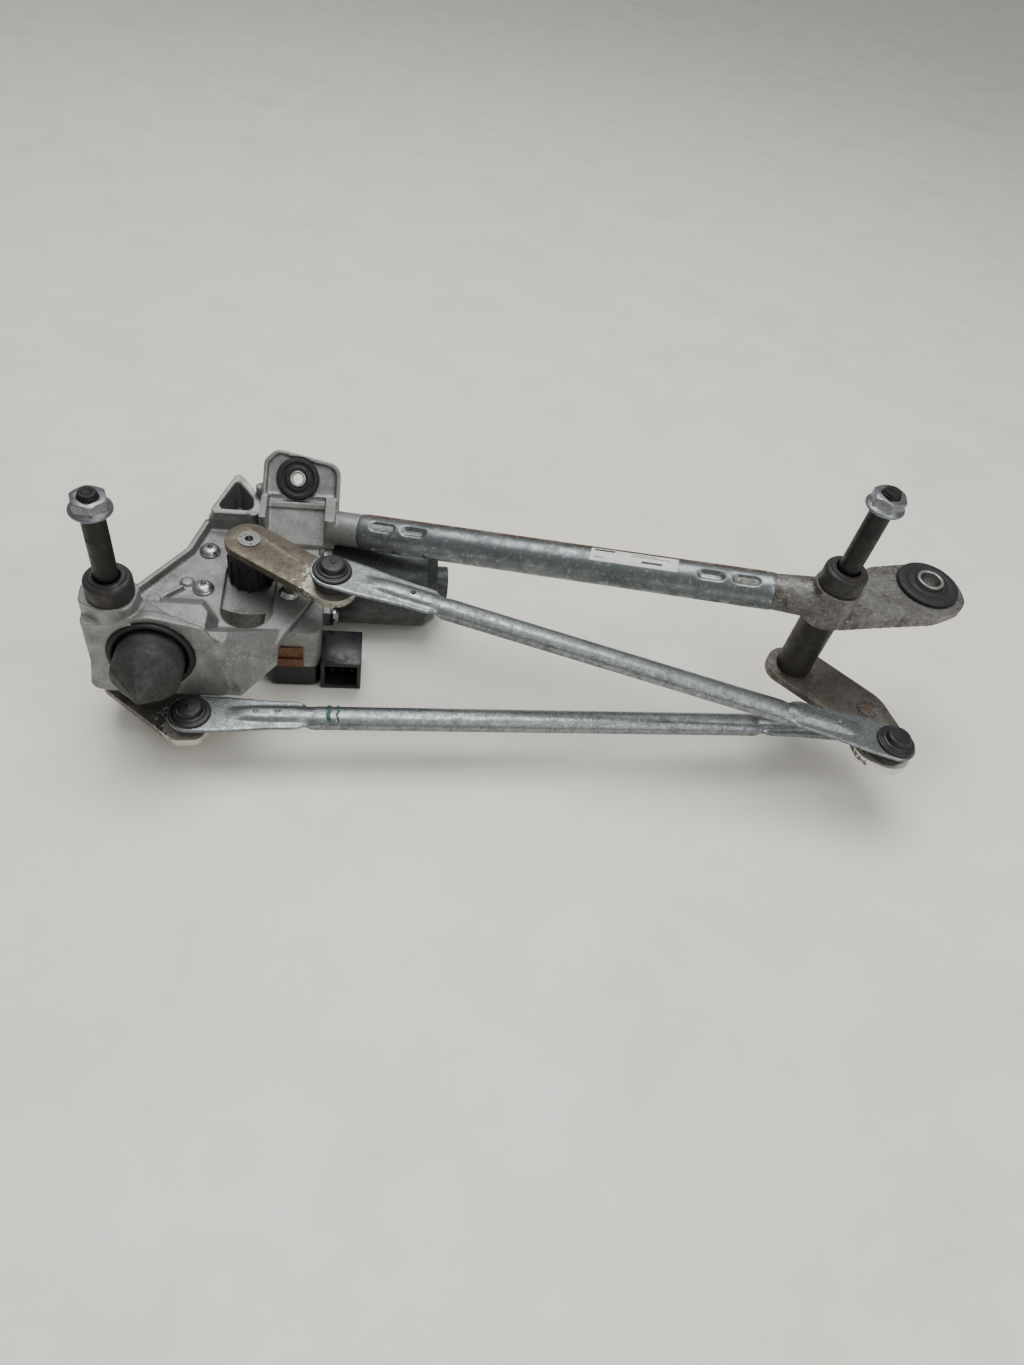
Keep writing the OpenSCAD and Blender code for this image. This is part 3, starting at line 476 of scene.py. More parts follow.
# CAD nodes that stay as they are: finish for each
PLAIN_NODES = {
    "left_bearing_tube": "dark_coating", "right_bearing_tube": "dark_coating",
    "left_bushes": "sintered_bronze", "right_bushes": "sintered_bronze",
    "left_circlip": "black_oxide", "right_circlip": "black_oxide",
    "gear_housing": "cast_aluminium", "output_bush": "sintered_bronze", "cover_gasket": "black_rubber",
    "gear_cover": "connector_nylon", "circuit_board": "board_laminate", "cover_screws": "bright_zinc",
    "connector_terminals": "tinned_pins", "yoke_magnets": "sintered_ferrite", "yoke_screws": "bright_zinc",
    "end_bearing": "sintered_bronze", "front_bearing": "ground_steel", "worm_bearing": "sintered_bronze",
    "brush_plate": "pressed_carbon", "brushes": "pressed_carbon", "armature_shaft": "ground_steel",
    "worm": "ground_steel", "armature_core": "core_laminations", "armature_windings": "enamelled_copper",
    "commutator": "spring_copper", "worm_wheel": "natural_nylon", "output_shaft": "ground_steel",
    "right_ball_studs": "ground_steel", "left_ball_stud": "ground_steel", "crank_ball_stud": "ground_steel",
    "contact_strip": "spring_copper", "tower_boot": "black_rubber",
}


# ------------------------------------------------------------------ sizes a user may change


class WiperSizes(bpy.types.PropertyGroup):
    """Sizes of the visible pieces."""

    rod_width: bpy.props.FloatProperty(name="Rod width", description="Width of a rod's channel",
                                       default=14 * MM, min=10 * MM, max=18 * MM, unit="LENGTH")
    rod_sheet: bpy.props.FloatProperty(name="Rod sheet", description="Thickness of the rods' sheet steel",
                                       default=2 * MM, min=1 * MM, max=3 * MM, unit="LENGTH")
    rod_bead: bpy.props.FloatProperty(name="Rod bead", description="Height of the bead pressed along a rod",
                                      default=2.4 * MM, min=0.5 * MM, max=3 * MM, unit="LENGTH")
    crimp_depth: bpy.props.FloatProperty(name="Crimp depth",
                                         description="Depth of the hollows that lock the tube",
                                         default=1.9 * MM, min=0.2 * MM, max=2 * MM, unit="LENGTH")
    cast_voxel: bpy.props.FloatProperty(name="Casting grid",
                                        description="Grid that the castings are rounded on",
                                        default=0.75 * MM, min=0.4 * MM, max=2 * MM, unit="LENGTH")


class WiperLook(bpy.types.PropertyGroup):
    """Colours and light."""

    backdrop: bpy.props.FloatVectorProperty(name="Backdrop", description="Colour behind the part",
                                            subtype="COLOR", size=3, default=colour("c9c9c8")[:3], min=0,
                                            max=1)
    lamp: bpy.props.FloatProperty(name="Lamp", description="Strength of the main lamp", default=26.0,
                                  min=0, max=200)


# ------------------------------------------------------------------ operators


class WIPER_OT_finishes(bpy.types.Operator):
    """Make the finishes and give them to the CAD nodes that keep their shape"""

    bl_idname = "wiper.finishes"
    bl_label = "Finishes"

    def execute(self, context):
        make_finishes()
        for node, finish in PLAIN_NODES.items():
            data = frame["nodes"][node].data
            data.materials.clear()
            data.materials.append(FINISHES[finish])
        return {"FINISHED"}


class WIPER_OT_castings(bpy.types.Operator):
    """Round the motor bracket and the pivot housing as castings"""

    bl_idname = "wiper.castings"
    bl_label = "Castings"

    def execute(self, context):
        voxel = context.scene.wiper_sizes.cast_voxel / MM
        bracket = as_cast(from_cad("bracket_casting", "motor_bracket"), voxel, 3)
        kept(bracket, FINISHES["cast_aluminium"], "frame", "cast_alloy", "bracket_casting")
        pivot = as_cast(from_cad("pivot_housing", "right_pivot_casting"), voxel, 4)
        kept(pivot, FINISHES["weathered_casting"], "frame", "cast_alloy", "pivot_housing")
        return {"FINISHED"}


def rod_frame(a, b, side_a, side_b, lift):
    """Matrix of a rod's plate: +X from ball a to ball b, +Z up, lifted to one side of each ball."""
    normal = UP.copy()
    for _ in range(6):
        start, end = a + normal * lift * side_a, b + normal * lift * side_b
        along = (end - start).normalized()
        normal = (UP - along * along.dot(UP)).normalized()
    across = normal.cross(along)
    matrix = Matrix((along, across, normal)).transposed().to_4x4()
    matrix.translation = start
    return matrix, (end - start).length


def ramp(x, a, b):
    """0 below a, 1 above b, smooth between."""
    t = min(1.0, max(0.0, (x - a) / (b - a)))
    return t * t * (3 - 2 * t)


def rod_section(s, length, sizes):
    """Half of a rod's top outline at s mm along it: (across, height) from the middle to the edge."""
    end = min(s, length - s)
    half = sizes.rod_width / MM / 2
    bead = sizes.rod_bead / MM * ramp(end, 17, 34)
    reach = 12.5
    if end > 12:
        reach += (half + 2.6 - 12.5) * ramp(end, 10, 50)
        reach += (half - reach) * ramp(end, 55, 66)
    narrow = math.sqrt(max(12.5 ** 2 - end ** 2, 4.0)) / 12.5 if end < 0 else 1.0
    fold = ramp(end, 60, 67)
    crown = 2.9 + 0.6 * ramp(end, 24, 40)
    pinch = math.exp(-((end - 63.5) / 3.2) ** 2)
    foot = crown + 3.0
    flat = [(0, bead), (crown * 0.5, bead * 0.98), (crown, bead * 0.82), (crown + 1.1, bead * 0.40),
            (crown + 2.0, bead * 0.06), (foot, 0), (foot + (reach - foot) / 3, 0),
            (foot + (reach - foot) / 1.5, 0), (reach, 0)]
    deep = [(0, bead), (2.2, bead * 0.97), (3.8, bead * 0.74), (5.2, bead * 0.36), (half - 0.7, -0.2),
            (half, -1.1), (half, -2.4), (half, -4.0), (half, -5.5)]
    out = []
    for (y0, z0), (y1, z1) in zip(flat, deep):
        y = (y0 + (y1 - y0) * fold) * narrow
        z = z0 + (z1 - z0) * fold - 0.7 * pinch * (1 if y > 2 else 0.5)
        out.append((y, 1.0 + z))
    return out


def pressed_rod(name, matrix, length, sizes, holes):
    """A rod pressed from sheet: flat beaded ends that fold down into a channel."""
    span = length / MM
    stations = []
    s = -12.3
    while s < span + 12.3:
        stations.append(s)
        end = min(s, span - s)
        s += 0.7 if end < 0 else 1.2 if end < 20 or 52 < end < 74 else 2.5 if end < 80 else 6.0
    stations.append(span + 12.3)
    unpick()
    bpy.ops.mesh.primitive_grid_add(x_subdivisions=len(stations) - 1, y_subdivisions=16, size=1)
    piece = named(name)
    verts = sorted(piece.data.vertices, key=lambda v: (round(v.co.x, 6), v.co.y))
    for i, s in enumerate(stations):
        half = rod_section(s, span, sizes)
        row = [(-y, z) for y, z in reversed(half[1:])] + half
        for vert, (y, z) in zip(verts[i * 17:(i + 1) * 17], row):
            vert.co = (s * MM, y * MM, z * MM)
    piece.data.update()
    modify(piece, "SOLIDIFY", thickness=sizes.rod_sheet, offset=-1, use_even_offset=True)
    modify(piece, "SUBSURF", levels=1, render_levels=1)
    for at in holes:
        cut(piece, peg(1.7, 14, Vector((at * MM, 0, 0))))
    outward(piece)
    piece.data.transform(matrix)
    return smooth(piece, 50)


class WIPER_OT_rods(bpy.types.Operator):
    """Press the two rods"""

    bl_idname = "wiper.rods"
    bl_label = "Rods"

    def execute(self, context):
        sizes = context.scene.wiper_sizes
        matrix, length = rod_frame(OUTER_BALL, CRANK_BALL, 1, 1, ROD_LIFT)
        rod = pressed_rod("crank_rod", matrix, length, sizes, [34, length / MM - 47])
        kept(rod, FINISHES["galvanised_sheet"], "drive_rod", "galvanised_steel", "drive_rod")
        matrix, length = rod_frame(INNER_BALL, LEFT_BALL, -1, 1, ROD_LIFT)
        rod = pressed_rod("link_rod", matrix, length, sizes, [34, length / MM - 47, length / MM - 35])
        kept(rod, FINISHES["galvanised_sheet"], "transfer_rod", "galvanised_steel", "transfer_rod")
        marks = []
        for at, wide in ((75.0, 2.4), (80.0, 1.2)):
            unpick()
            bpy.ops.mesh.primitive_grid_add(x_subdivisions=2, y_subdivisions=12, size=1)
            mark = named("mark")
            for vert in mark.data.vertices:
                across = vert.co.y * 2 * 6.9
                tall = 1.0 + 2.5 * (1 - ramp(abs(across), 2.6, 6.4)) + 0.06
                vert.co = Vector((length / MM - at + vert.co.x * wide + 0.5 * math.sin(across), across,
                                  tall)) * MM
            mark.data.transform(matrix)
            marks.append(mark)
        stripes = joined("marker_stripes", marks)
        modify(stripes, "SOLIDIFY", thickness=0.06 * MM, offset=1)
        kept(stripes, FINISHES["green_marker"], "transfer_rod", "black_plastic")
        return {"FINISHED"}


CAP_OUTLINE = [(0, -4.2), (8.5, -4.2), (8.5, 3.2), (11, 3.2), (11.1, 4.0), (10.7, 4.7), (9.9, 4.9),
               (8.9, 4.9), (8.5, 5.2), (8.2, 5.8), (7.4, 6.0), (7.0, 6.4), (6.9, 8.5), (6.6, 9.1),
               (5.9, 9.5), (4.0, 9.6), (1.3, 9.6), (1.2, 10.1), (0.9, 10.4), (0, 10.4)]
BOOT_OUTLINE = [(8.5, 1.2), (11.2, 1.2), (11.6, 0.4), (11.3, -0.6), (10.4, -1.1), (10.9, -1.7),
                (11.1, -2.6), (10.5, -3.6), (9.9, -4.0), (10.2, -4.6), (10.1, -5.4), (9.3, -6.2),
                (6.2, -6.2), (6.2, -4.3), (8.5, -4.3), (8.5, 1.2)]


class WIPER_OT_ball_joints(bpy.types.Operator):
    """Turn the stepped socket caps and the bellows boots of the four ball joints"""

    bl_idname = "wiper.ball_joints"
    bl_label = "Ball joints"

    def execute(self, context):
        cap = turned("cap", CAP_OUTLINE, 72, 0.3)
        boot = turned("boot", BOOT_OUTLINE, 64, 0.4)
        smooth(cap, 40)
        smooth(boot, 60)
        # Each rod's two balls, with the side of the ball that the rod's cap is on
        rods = {"drive_rod": ((OUTER_BALL, 1), (CRANK_BALL, 1)),
                "transfer_rod": ((INNER_BALL, -1), (LEFT_BALL, 1))}
        for rod, ends in rods.items():
            a, b = ends
            matrix, _ = rod_frame(a[0], b[0], a[1], b[1], ROD_LIFT)
            normal = matrix.col[2].to_3d()
            for part, finish, slot, node in ((cap, "black_nylon", "black_plastic", rod + "_sockets"),
                                             (boot, "black_rubber", "black_rubber", rod + "_boots")):
                pair = [placed(copied(part, part.name + str(i)), at, normal * side)
                        for i, (at, side) in enumerate(ends)]
                kept(joined(f"{rod}_{part.name}s", pair), FINISHES[finish], rod, slot, node)
        for part in (cap, boot):
            bpy.data.objects.remove(part)
        return {"FINISHED"}


class WIPER_OT_levers(bpy.types.Operator):
    """Press the two levers and the motor crank, with their rivet heads"""

    bl_idname = "wiper.levers"
    bl_label = "Levers"

    def execute(self, context):
        for node, name, finish in (("right_lever", "right_pressed_lever", "right_lever_steel"),
                                   ("left_lever", "left_pressed_lever", "left_lever_steel"),
                                   ("motor_crank", "pressed_crank", "oiled_steel")):
            lever = broken_edges(from_cad(node, name), 0.55, 35, 3)
            kept(lever, FINISHES[finish], node, "lever_steel", node)
        head = turned("head", [(0, -0.6), (5.9, -0.6), (6.0, 0.4), (5.7, 0.8), (3.0, 1.0), (0, 1.05)], 48,
                      0.3)
        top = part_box("right_lever")[1].z
        rivet = placed(copied(head, "lever_rivet"), Vector((INNER_BALL.x, INNER_BALL.y, top)))
        kept(smooth(rivet), FINISHES["rusted_steel"], "right_lever", "lever_steel")
        bpy.data.objects.remove(head)
        # Serrated end of the output shaft, pressed into the crank
        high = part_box("motor_crank")[1].z
        end = turned("shaft_end", [(2.6, -3.5), (2.6, 0.1), (3.2, 0.45), (5.0, 0.5), (5.8, 0.25),
                                   (6.3, -0.4), (2.6, -3.5)], 96, 0.15)
        for vert in end.data.vertices:
            if math.hypot(vert.co.x, vert.co.y) > 4.6 * MM and vert.co.z > -1 * MM:
                fluted(vert, 0.05, 24)
        end = placed(end, Vector((MOTOR.x, MOTOR.y, high)))
        kept(smooth(end), FINISHES["oiled_steel"], "motor_crank", "bright_steel")
        return {"FINISHED"}


def hex_nut(name):
    """Flanged hexagon nut: a chamfered hexagon on a dished flange, its face on z = 0."""
    unpick()
    bpy.ops.mesh.primitive_cylinder_add(vertices=6, radius=16 / math.sqrt(3) * MM, depth=6.2 * MM,
                                        location=(0, 0, 5.1 * MM))
    body = named(name)
    bpy.ops.object.transform_apply(location=True)
    modify(body, "BEVEL", width=0.35 * MM, segments=2, limit_method="ANGLE", angle_limit=math.radians(40))
    # The corners are turned down to a cone at the top
    cone = turned("cone", [(0, -1), (12, -1), (12, 6.0), (7.6, 8.25), (0, 8.25)], 64, 0)
    modify(body, "BOOLEAN", operation="INTERSECT", object=cone, solver="EXACT")
    bpy.data.objects.remove(cone)
    flange = turned("flange", [(0, 0), (10.2, 0), (10.5, 0.5), (10.4, 1.3), (9.6, 1.9), (8.6, 2.5),
                               (7.6, 3.4), (0, 3.4)], 64, 0.4)
    modify(body, "BOOLEAN", operation="UNION", object=flange, solver="EXACT")
    bpy.data.objects.remove(flange)
    cut(body, peg(5.05, 30, Vector((0, 0, 0)), sides=48))
    broken_edges(body, 0.18, 40, 2)
    return body


def stud_end(name):
    """The threaded end of a spindle with its turned threads and a chamfered, dished tip."""
    line = [(0, -0.2), (4.0, -0.2)]
    z = -0.2
    while z < 9.2:
        line += [(4.95, z + 0.35), (4.95, z + 0.55), (4.35, z + 1.0)]
        z += 1.25
    line += [(4.6, 10.0), (4.0, 10.75), (2.4, 10.8), (2.0, 10.3), (0, 10.2)]
    return smooth(turned(name, line, 48, 0.12), 45)


class WIPER_OT_spindles(bpy.types.Operator):
    """Turn the two spindles with their threaded ends, and the flanged nuts on them"""

    bl_idname = "wiper.spindles"
    bl_label = "Spindles"

    def execute(self, context):
        nut = hex_nut("nut")
        for side, seat, turn in (("left", LEFT_SEAT, math.radians(17)),
                                 ("right", RIGHT_SEAT, math.radians(-12))):
            low = (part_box(side + "_spindle")[0].z - seat.z) / MM
            shank = turned("shank", [(0, low), (7.3, low), (7.5, low + 0.5), (7.5, low + 1.8),
                                     (4.5, low + 1.8), (4.5, low + 6.8), (6, low + 6.8), (6, -17.5),
                                     (5.85, -17.2), (6.0, -16.9), (6, -2.4), (5.1, -0.2), (4, -0.1),
                                     (0, -0.1)], 96, 0.12)
            # Fine knurl under the nut, where the arm grips
            for vert in shank.data.vertices:
                if -16.8 * MM < vert.co.z < -1.9 * MM:
                    around = math.atan2(vert.co.y, vert.co.x)
                    shrink = 1 - 0.022 * (1 + math.cos(around * 32)) / 2
                    vert.co.x *= shrink
                    vert.co.y *= shrink
            spindle = joined(side + "_wiper_spindle", [smooth(shank, 40), stud_end("stud")])
            kept(placed(spindle, seat), FINISHES["black_oxide"], side + "_lever", "black_steel",
                 side + "_spindle")
            kept(placed(copied(nut, side + "_flange_nut"), seat, UP, turn), FINISHES["zinc_flake"],
                 side + "_lever", "nut_steel", side + "_nut")
        bpy.data.objects.remove(nut)
        return {"FINISHED"}


class WIPER_OT_collars(bpy.types.Operator):
    """Turn the two caps over the bearing tubes"""

    bl_idname = "wiper.collars"
    bl_label = "Collars"

    def execute(self, context):
        for side, seat in (("left", LEFT_SEAT), ("right", RIGHT_SEAT)):
            base, top = ((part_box(side + "_collar")[i].z - seat.z) / MM for i in (0, 1))
            outline = [(10.6, base), (11.6, base), (12.1, base + 0.8), (12.3, base + 2),
                       (12.3, top - 3.4), (12.0, top - 2.3), (11.3, top - 1.5), (10.5, top - 1.2),
                       (9.8, top - 1.1), (9.4, top - 0.4), (8.9, top), (7.2, top), (6.7, top - 0.4),
                       (6.5, top - 2.4), (8.5, top - 3.4), (10.6, top - 4.9), (10.6, base)]
            piece = placed(turned(side + "_cap_collar", outline, 72, 0.6), seat)
            kept(smooth(piece, 50), FINISHES["dusty_nylon"], "frame", "black_plastic", side + "_collar")
        return {"FINISHED"}


class WIPER_OT_rubber(bpy.types.Operator):
    """Turn the grommets, their sleeves, the locating plug and its seat"""

    bl_idname = "wiper.rubber"
    bl_label = "Rubber pieces"

    def execute(self, context):
        # Right eyelet: a dished lip above and below the tab
        lip = [(8.05, -6.9), (17.2, -6.9), (18.5, -6.2), (18.8, -5.0), (18.5, -3.5), (15, -3.5),
               (15, 3.5), (18.5, 3.5), (18.8, 4.8), (18.3, 5.9), (17.0, 6.5), (14.2, 6.8), (12.8, 6.3),
               (11.4, 6.3), (10.4, 6.8), (8.05, 6.9), (8.05, -6.9)]
        low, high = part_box("right_grommet")
        centre = Vector((RIGHT_EAR.x, RIGHT_EAR.y, (low.z + high.z) / 2))
        kept(placed(smooth(turned("right_eyelet", lip, 72, 0.5), 50), centre), FINISHES["black_rubber"],
             "frame", "black_rubber", "right_grommet")
        sleeve = [(6, -9.5), (8, -9.5), (8, 9.0), (7.7, 9.5), (6.4, 9.5), (6, 9.1), (6, -9.5)]
        kept(placed(smooth(turned("right_eyelet_sleeve", sleeve, 64, 0.25)), centre),
             FINISHES["bright_zinc"], "frame", "zinc_steel", "right_sleeve")
        # Left eyelet, with a ridge round its sleeve
        lip = [(5.05, -6.5), (11.6, -6.5), (13, -5.4), (13, -3.5), (11, -3.5), (11, 3.5), (13, 3.5),
               (13, 5.2), (12.2, 6.3), (10.2, 6.5), (9.4, 5.7), (8.2, 5.6), (7.4, 6.2), (6.2, 6.4),
               (5.05, 6.0), (5.05, -6.5)]
        kept(placed(smooth(turned("left_eyelet", lip, 64, 0.4), 50), LEFT_EAR, LEFT_EAR_OUT),
             FINISHES["black_rubber"], "frame", "black_rubber", "left_grommet")
        sleeve = [(3.25, -7), (5, -7), (5, 6.5), (4.7, 7), (3.6, 7), (3.25, 6.6), (3.25, -7)]
        kept(placed(smooth(turned("left_eyelet_sleeve", sleeve, 48, 0.2)), LEFT_EAR, LEFT_EAR_OUT),
             FINISHES["bright_zinc"], "frame", "zinc_steel", "left_sleeve")
        # Plug: a drum that rounds over to a point, with low ribs running from the point
        back = -12.5
        nose = [(0, back), (17.2, back), (17.4, back + 4), (18, back + 6), (18, back + 18.8),
                (17.6, back + 19.9), (16.5, back + 21.0), (12.4, back + 25.6), (8.2, back + 30.6),
                (4.1, back + 35.6), (1.3, back + 38.6), (0, back + 39.5)]
        plug = turned("pointed_plug", nose, 96, 0.9)
        for vert in plug.data.vertices:
            out = math.hypot(vert.co.x, vert.co.y)
            if vert.co.z > (back + 19) * MM and out > 1.2 * MM:
                around = math.atan2(vert.co.y, vert.co.x)
                vert.co.z -= 0.5 * MM * (0.5 + 0.5 * math.cos(around * 12)) * min(1.0, out / (8 * MM))
        kept(smooth(placed(plug, PLUG, PLUG_OUT), 50), FINISHES["dusty_rubber"], "frame", "plug_rubber",
             "locating_plug")
        # Seat: a dished ring with a rolled lip, sunk in the casting's cup
        floor = PLUG - PLUG_OUT * (12.5 - 2.4 + 4) * MM
        ring = [(12, 0), (22.4, 0), (22.5, 4.4), (22.1, 5.6), (21.1, 6.2), (20.0, 6.0), (19.3, 5.0),
                (18.9, 3.6), (18.3, 2.4), (17.2, 1.6), (12, 1.6), (12, 0)]
        kept(smooth(placed(turned("plug_ring", ring, 80, 0.5), floor, PLUG_OUT), 50),
             FINISHES["black_rubber"], "frame", "black_rubber", "plug_seat")
        return {"FINISHED"}


# The two ends of the cross tube on its axis, as the design has them
TUBE_LEFT = Vector((127.7, 88.0, -81.0)) * MM
TUBE_RIGHT = Vector((361.5, 10.0, -37.0)) * MM


def tube_frame():
    """Matrix of the cross tube, +Z along it from its left end and +Y upward, and its length in mm."""
    along = (TUBE_RIGHT - TUBE_LEFT).normalized()
    back = UP.cross(along).normalized()
    matrix = Matrix((back, along.cross(back), along)).transposed().to_4x4()
    matrix.translation = TUBE_LEFT
    return matrix, (TUBE_RIGHT - TUBE_LEFT).length / MM


def on_tube(radius, up_from_front, s):
    """Place on the tube at an angle counted upward from its front, in the tube's own frame."""
    around = math.pi - up_from_front
    return radius * math.cos(around) * MM, radius * math.sin(around) * MM, s * MM


class WIPER_OT_tube(bpy.types.Operator):
    """Roll the cross tube with its crimps, its seam and its blank label"""

    bl_idname = "wiper.tube"
    bl_label = "Cross tube"

    def execute(self, context):
        depth = context.scene.wiper_sizes.crimp_depth / MM
        matrix, length = tube_frame()
        rings, sides = int(length / 1.15), 72
        unpick()
        bpy.ops.mesh.primitive_grid_add(x_subdivisions=rings, y_subdivisions=sides, size=1)
        tube = named("crimped_tube")
        rows = ((16.0, 36.0), (length - 36.0, length - 16.0))
        for vert in tube.data.vertices:
            s = (vert.co.x + 0.5) * length
            around = (vert.co.y + 0.5) * math.tau
            radius = TUBE_R
            # Two obround hollows on each end and each side of the tube
            for centre in rows[0] + rows[1]:
                for facing in (1.1, 1.1 + math.pi / 2, 1.1 + math.pi, 1.1 + 1.5 * math.pi):
                    gap_round = (around - facing + math.pi) % math.tau - math.pi
                    along = max(0.0, abs(s - centre) - 4.8)
                    off = math.hypot(along, gap_round * TUBE_R)
                    radius -= depth * (1 - ramp(off, 1.5, 3.3))
            # The end is pressed in round the spigot
            near = min(s, length - s)
            radius -= 0.35 * (1 - ramp(near, 0.0, 1.6))
            vert.co = on_tube(radius, around, s)
        outward(tube, 2e-6)
        modify(tube, "SOLIDIFY", thickness=1.0 * MM, offset=-1)
        tube.data.transform(matrix)
        kept(smooth(tube, 50), FINISHES["galvanised_tube"], "frame", "galvanised_steel", "cross_tube")
        # Rusty weld seam along the top edge, label and its marks: thin strips that follow the tube
        self.strip("rusty_seam", matrix, (4, length - 6), (1.78, 2.5), TUBE_R + 0.02, 60, "rust_stain",
                   "galvanised_steel")
        start = length * 0.575
        self.strip("blank_label", matrix, (start, start + 51), (0.98, 1.84), TUBE_R + 0.06, 16, "label_paper",
                   "black_plastic")
        # Bars in place of print: from and to along the tube, then the two angles round it
        marks = [(start + 2, start + 14, 1.62, 1.76), (start + 2, start + 8, 1.20, 1.24),
                 (start + 30, start + 42, 1.18, 1.30), (start + 24, start + 46, 1.54, 1.58),
                 (start + 24, start + 38, 1.68, 1.72)]
        strips = [self.patch("mark", matrix, (a, b), (c, d), TUBE_R + 0.09, 6) for a, b, c, d in marks]
        kept(joined("label_marks", strips), FINISHES["label_ink"], "frame", "black_plastic")
        return {"FINISHED"}

    def patch(self, name, matrix, span, arc, radius, cells):
        """A thin patch wrapped on the tube between two places along it and two angles round it."""
        unpick()
        bpy.ops.mesh.primitive_grid_add(x_subdivisions=cells, y_subdivisions=6, size=1)
        piece = named(name)
        for vert in piece.data.vertices:
            s = span[0] + (vert.co.x + 0.5) * (span[1] - span[0])
            around = arc[0] + (vert.co.y + 0.5) * (arc[1] - arc[0])
            vert.co = on_tube(radius, around, s)
        modify(piece, "SOLIDIFY", thickness=0.05 * MM, offset=1)
        piece.data.transform(matrix)
        return smooth(piece, 50)

    def strip(self, name, matrix, span, arc, radius, cells, finish, slot):
        """A patch finished as a piece of its own."""
        kept(self.patch(name, matrix, span, arc, radius, cells), FINISHES[finish], "frame", slot)


def torx_screw(name):
    """Pan-headed screw with a six-lobed recess, the underside of its head on z = 0."""
    screw = turned(name, [(0, -15), (2.4, -15), (3, -14), (3, 0), (6.3, 0), (6.4, 0.5), (6.2, 1.2),
                          (5.7, 1.5), (5.3, 2.3), (4.4, 3.3), (3.0, 3.95), (1.5, 4.1), (0, 4.12)], 64,
                   0.25)
    star = peg(2.1, 6, Vector((0, 0, 4.9 * MM)), sides=48)
    for vert in star.data.vertices:
        fluted(vert, 0.17, 6)
    cut(screw, star)
    return smooth(screw, 40)


class WIPER_OT_motor(bpy.types.Operator):
    """Draw the motor can, mould the connector, and turn the four screws that hold the gearbox"""

    bl_idname = "wiper.motor"
    bl_label = "Motor"

    def execute(self, context):
        can = broken_edges(from_cad("yoke", "motor_can"), 1.2, 30, 3)
        kept(can, FINISHES["passivated_can"], "frame", "yoke_steel", "yoke")
        block = broken_edges(from_cad("connector_housing", "plug_socket"), 0.5, 40, 2)
        kept(block, FINISHES["connector_nylon"], "frame", "black_plastic", "connector_housing")
        screw = torx_screw("screw")
        low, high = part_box("motor_screws")
        inset, under = 6.4 * MM, high.z - 4.16 * MM
        places = [Vector((x, y, under)) for x in (low.x + inset, high.x - inset)
                  for y in (low.y + inset, high.y - inset)]
        heads = [placed(copied(screw, f"screw_{i}"), at, UP, i * 0.8) for i, at in enumerate(places)]
        kept(joined("gearbox_screws", heads), FINISHES["bright_zinc"], "frame", "zinc_steel", "motor_screws")
        bpy.data.objects.remove(screw)
        return {"FINISHED"}


def resting_plane():
    """Point and normal of the plane that the part lies on: the tilt that puts its middle lowest."""
    points = np.array([v.co for node in frame["nodes"].values() for v in list(node.data.vertices)[::3]])
    middle = points.mean(axis=0)
    best, step = np.array([-0.15, 0.0]), 0.02
    for _ in range(4):
        tries = []
        for i in range(-6, 7):
            for j in range(-6, 7):
                tilt = np.array([best[0] + i * step, best[1] + j * step, 1.0])
                tilt /= np.linalg.norm(tilt)
                tries.append((middle @ tilt - (points @ tilt).min(), *(tilt[:2] / tilt[2])))
        best = np.array(min(tries)[1:])
        step /= 5
    normal = np.array([*best, 1.0])
    normal /= np.linalg.norm(normal)
    return Vector(points[(points @ normal).argmin()]), Vector(normal)


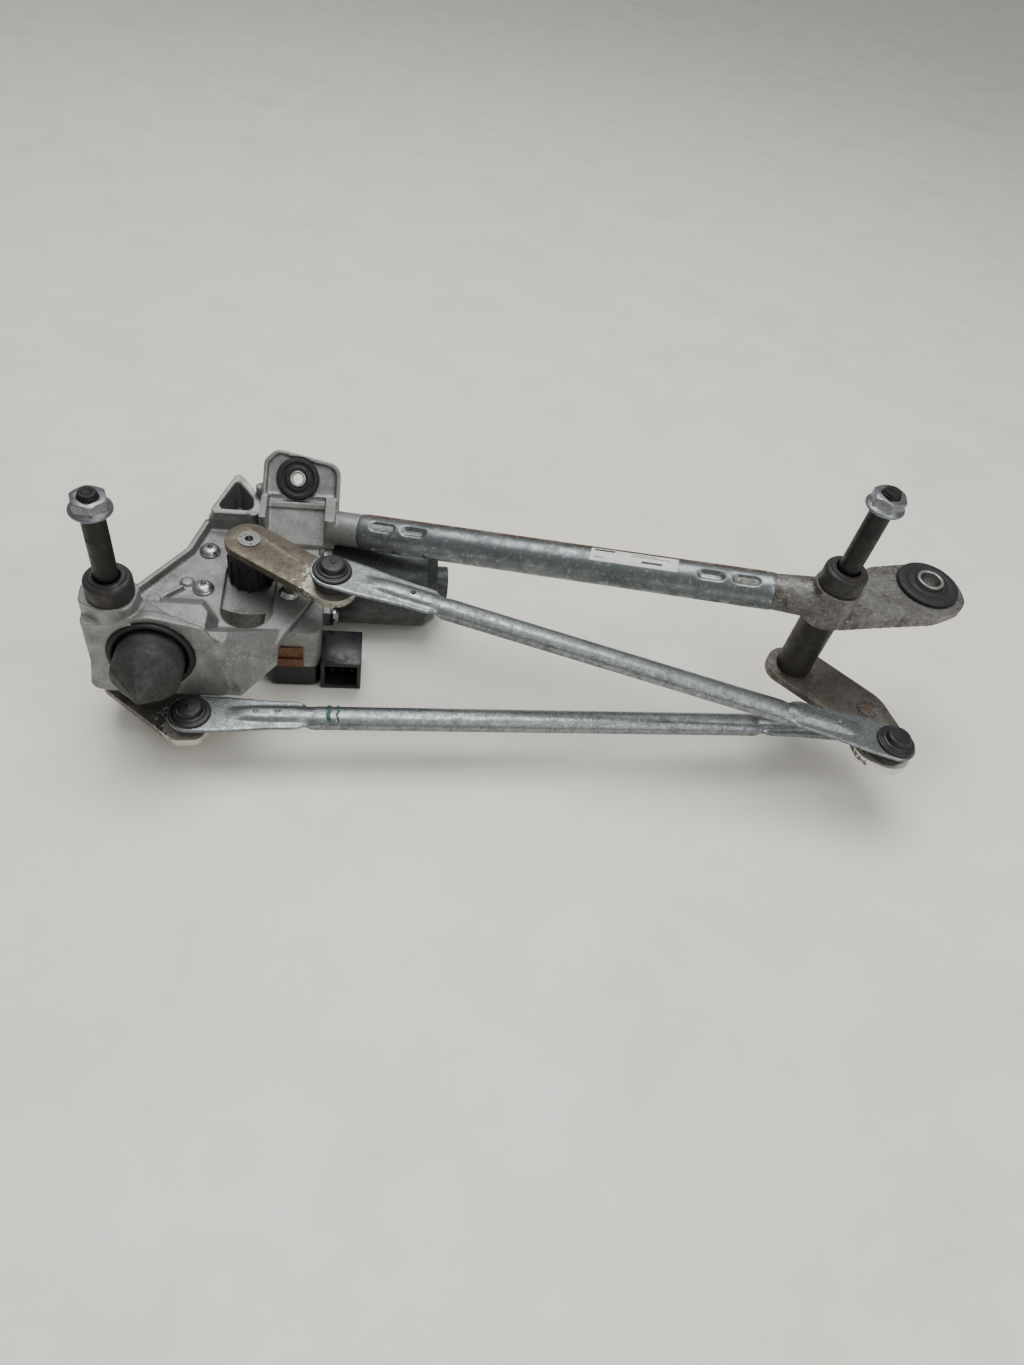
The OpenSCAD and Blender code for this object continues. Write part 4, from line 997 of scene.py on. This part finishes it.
class WIPER_OT_stage(bpy.types.Operator):
    """Floor, lamps and camera"""

    bl_idname = "wiper.stage"
    bl_label = "Stage"

    def execute(self, context):
        scene, look = context.scene, context.scene.wiper_look
        camera = bpy.data.objects.new("camera", bpy.data.cameras.new("camera"))
        scene.collection.objects.link(camera)
        camera.data.lens = 24.95
        camera.data.sensor_width = 36.0
        camera.data.sensor_fit = "AUTO"
        right = Vector((0.98561, -0.07486, 0.15155))
        up = Vector((-0.039, 0.772, 0.634))
        view = Vector((0.16451, 0.63088, -0.75824))
        turn = Matrix((right, up, -view)).transposed().to_4x4()
        camera.matrix_world = Matrix.Translation(Vector((126.53, -361.72, 318.76)) * MM) @ turn
        scene.camera = camera

        touch, normal = resting_plane()
        unpick()
        bpy.ops.mesh.primitive_plane_add(size=6.0)
        floor = named("floor")
        placed(floor, touch, normal)
        paint = finish_of("painted_board", "f2efe6", "ece8de", "dfdad0", 0.0, 0.42, 2.0, 0.02, stain_mm=120,
                          stain_from=0.55, stain_to=0.9, second_mm=60, spread=0.05)
        floor.data.materials.append(paint)

        world = bpy.data.worlds.new("soft_room")
        scene.world = world
        world.use_nodes = True
        sky = world.node_tree.nodes["Background"]
        sky.inputs["Color"].default_value = (*look.backdrop, 1)
        sky.inputs["Strength"].default_value = 0.6
        for name, place, size, power in (("ceiling_lamp", (0.1, 0.5, 1.5), 1.2, look.lamp),
                                         ("window_lamp", (0.9, -0.9, 1.2), 1.4, look.lamp * 0.45)):
            lamp = bpy.data.objects.new(name, bpy.data.lights.new(name, "AREA"))
            scene.collection.objects.link(lamp)
            lamp.data.energy = power
            lamp.data.size = size
            lamp.location = place
            aim = Vector((0.2, 0.0, -0.1)) - Vector(place)
            lamp.rotation_euler = aim.to_track_quat("-Z", "Y").to_euler()
        return {"FINISHED"}


class WIPER_PT_panel(bpy.types.Panel):
    """Lists the steps of the build"""

    bl_label = "Wiper linkage"
    bl_idname = "WIPER_PT_panel"
    bl_space_type = "VIEW_3D"
    bl_region_type = "UI"
    bl_category = "Wiper"

    def draw(self, context):
        for step in STEPS:
            self.layout.operator(step.bl_idname)
        for group in (context.scene.wiper_sizes, context.scene.wiper_look):
            for name in group.__annotations__:
                self.layout.prop(group, name)


STEPS = (WIPER_OT_stage, WIPER_OT_finishes, WIPER_OT_castings, WIPER_OT_rods, WIPER_OT_ball_joints,
         WIPER_OT_levers, WIPER_OT_spindles, WIPER_OT_collars, WIPER_OT_rubber, WIPER_OT_tube,
         WIPER_OT_motor)
CLASSES = (WiperSizes, WiperLook) + STEPS + (WIPER_PT_panel,)


def register():
    for item in CLASSES:
        bpy.utils.register_class(item)
    bpy.types.Scene.wiper_sizes = bpy.props.PointerProperty(type=WiperSizes)
    bpy.types.Scene.wiper_look = bpy.props.PointerProperty(type=WiperLook)


def unregister():
    del bpy.types.Scene.wiper_look
    del bpy.types.Scene.wiper_sizes
    for item in reversed(CLASSES):
        bpy.utils.unregister_class(item)


def main():
    register()
    for step in STEPS:
        group, name = step.bl_idname.split(".")
        getattr(getattr(bpy.ops, group), name)()


if __name__ == "__main__":
    main()
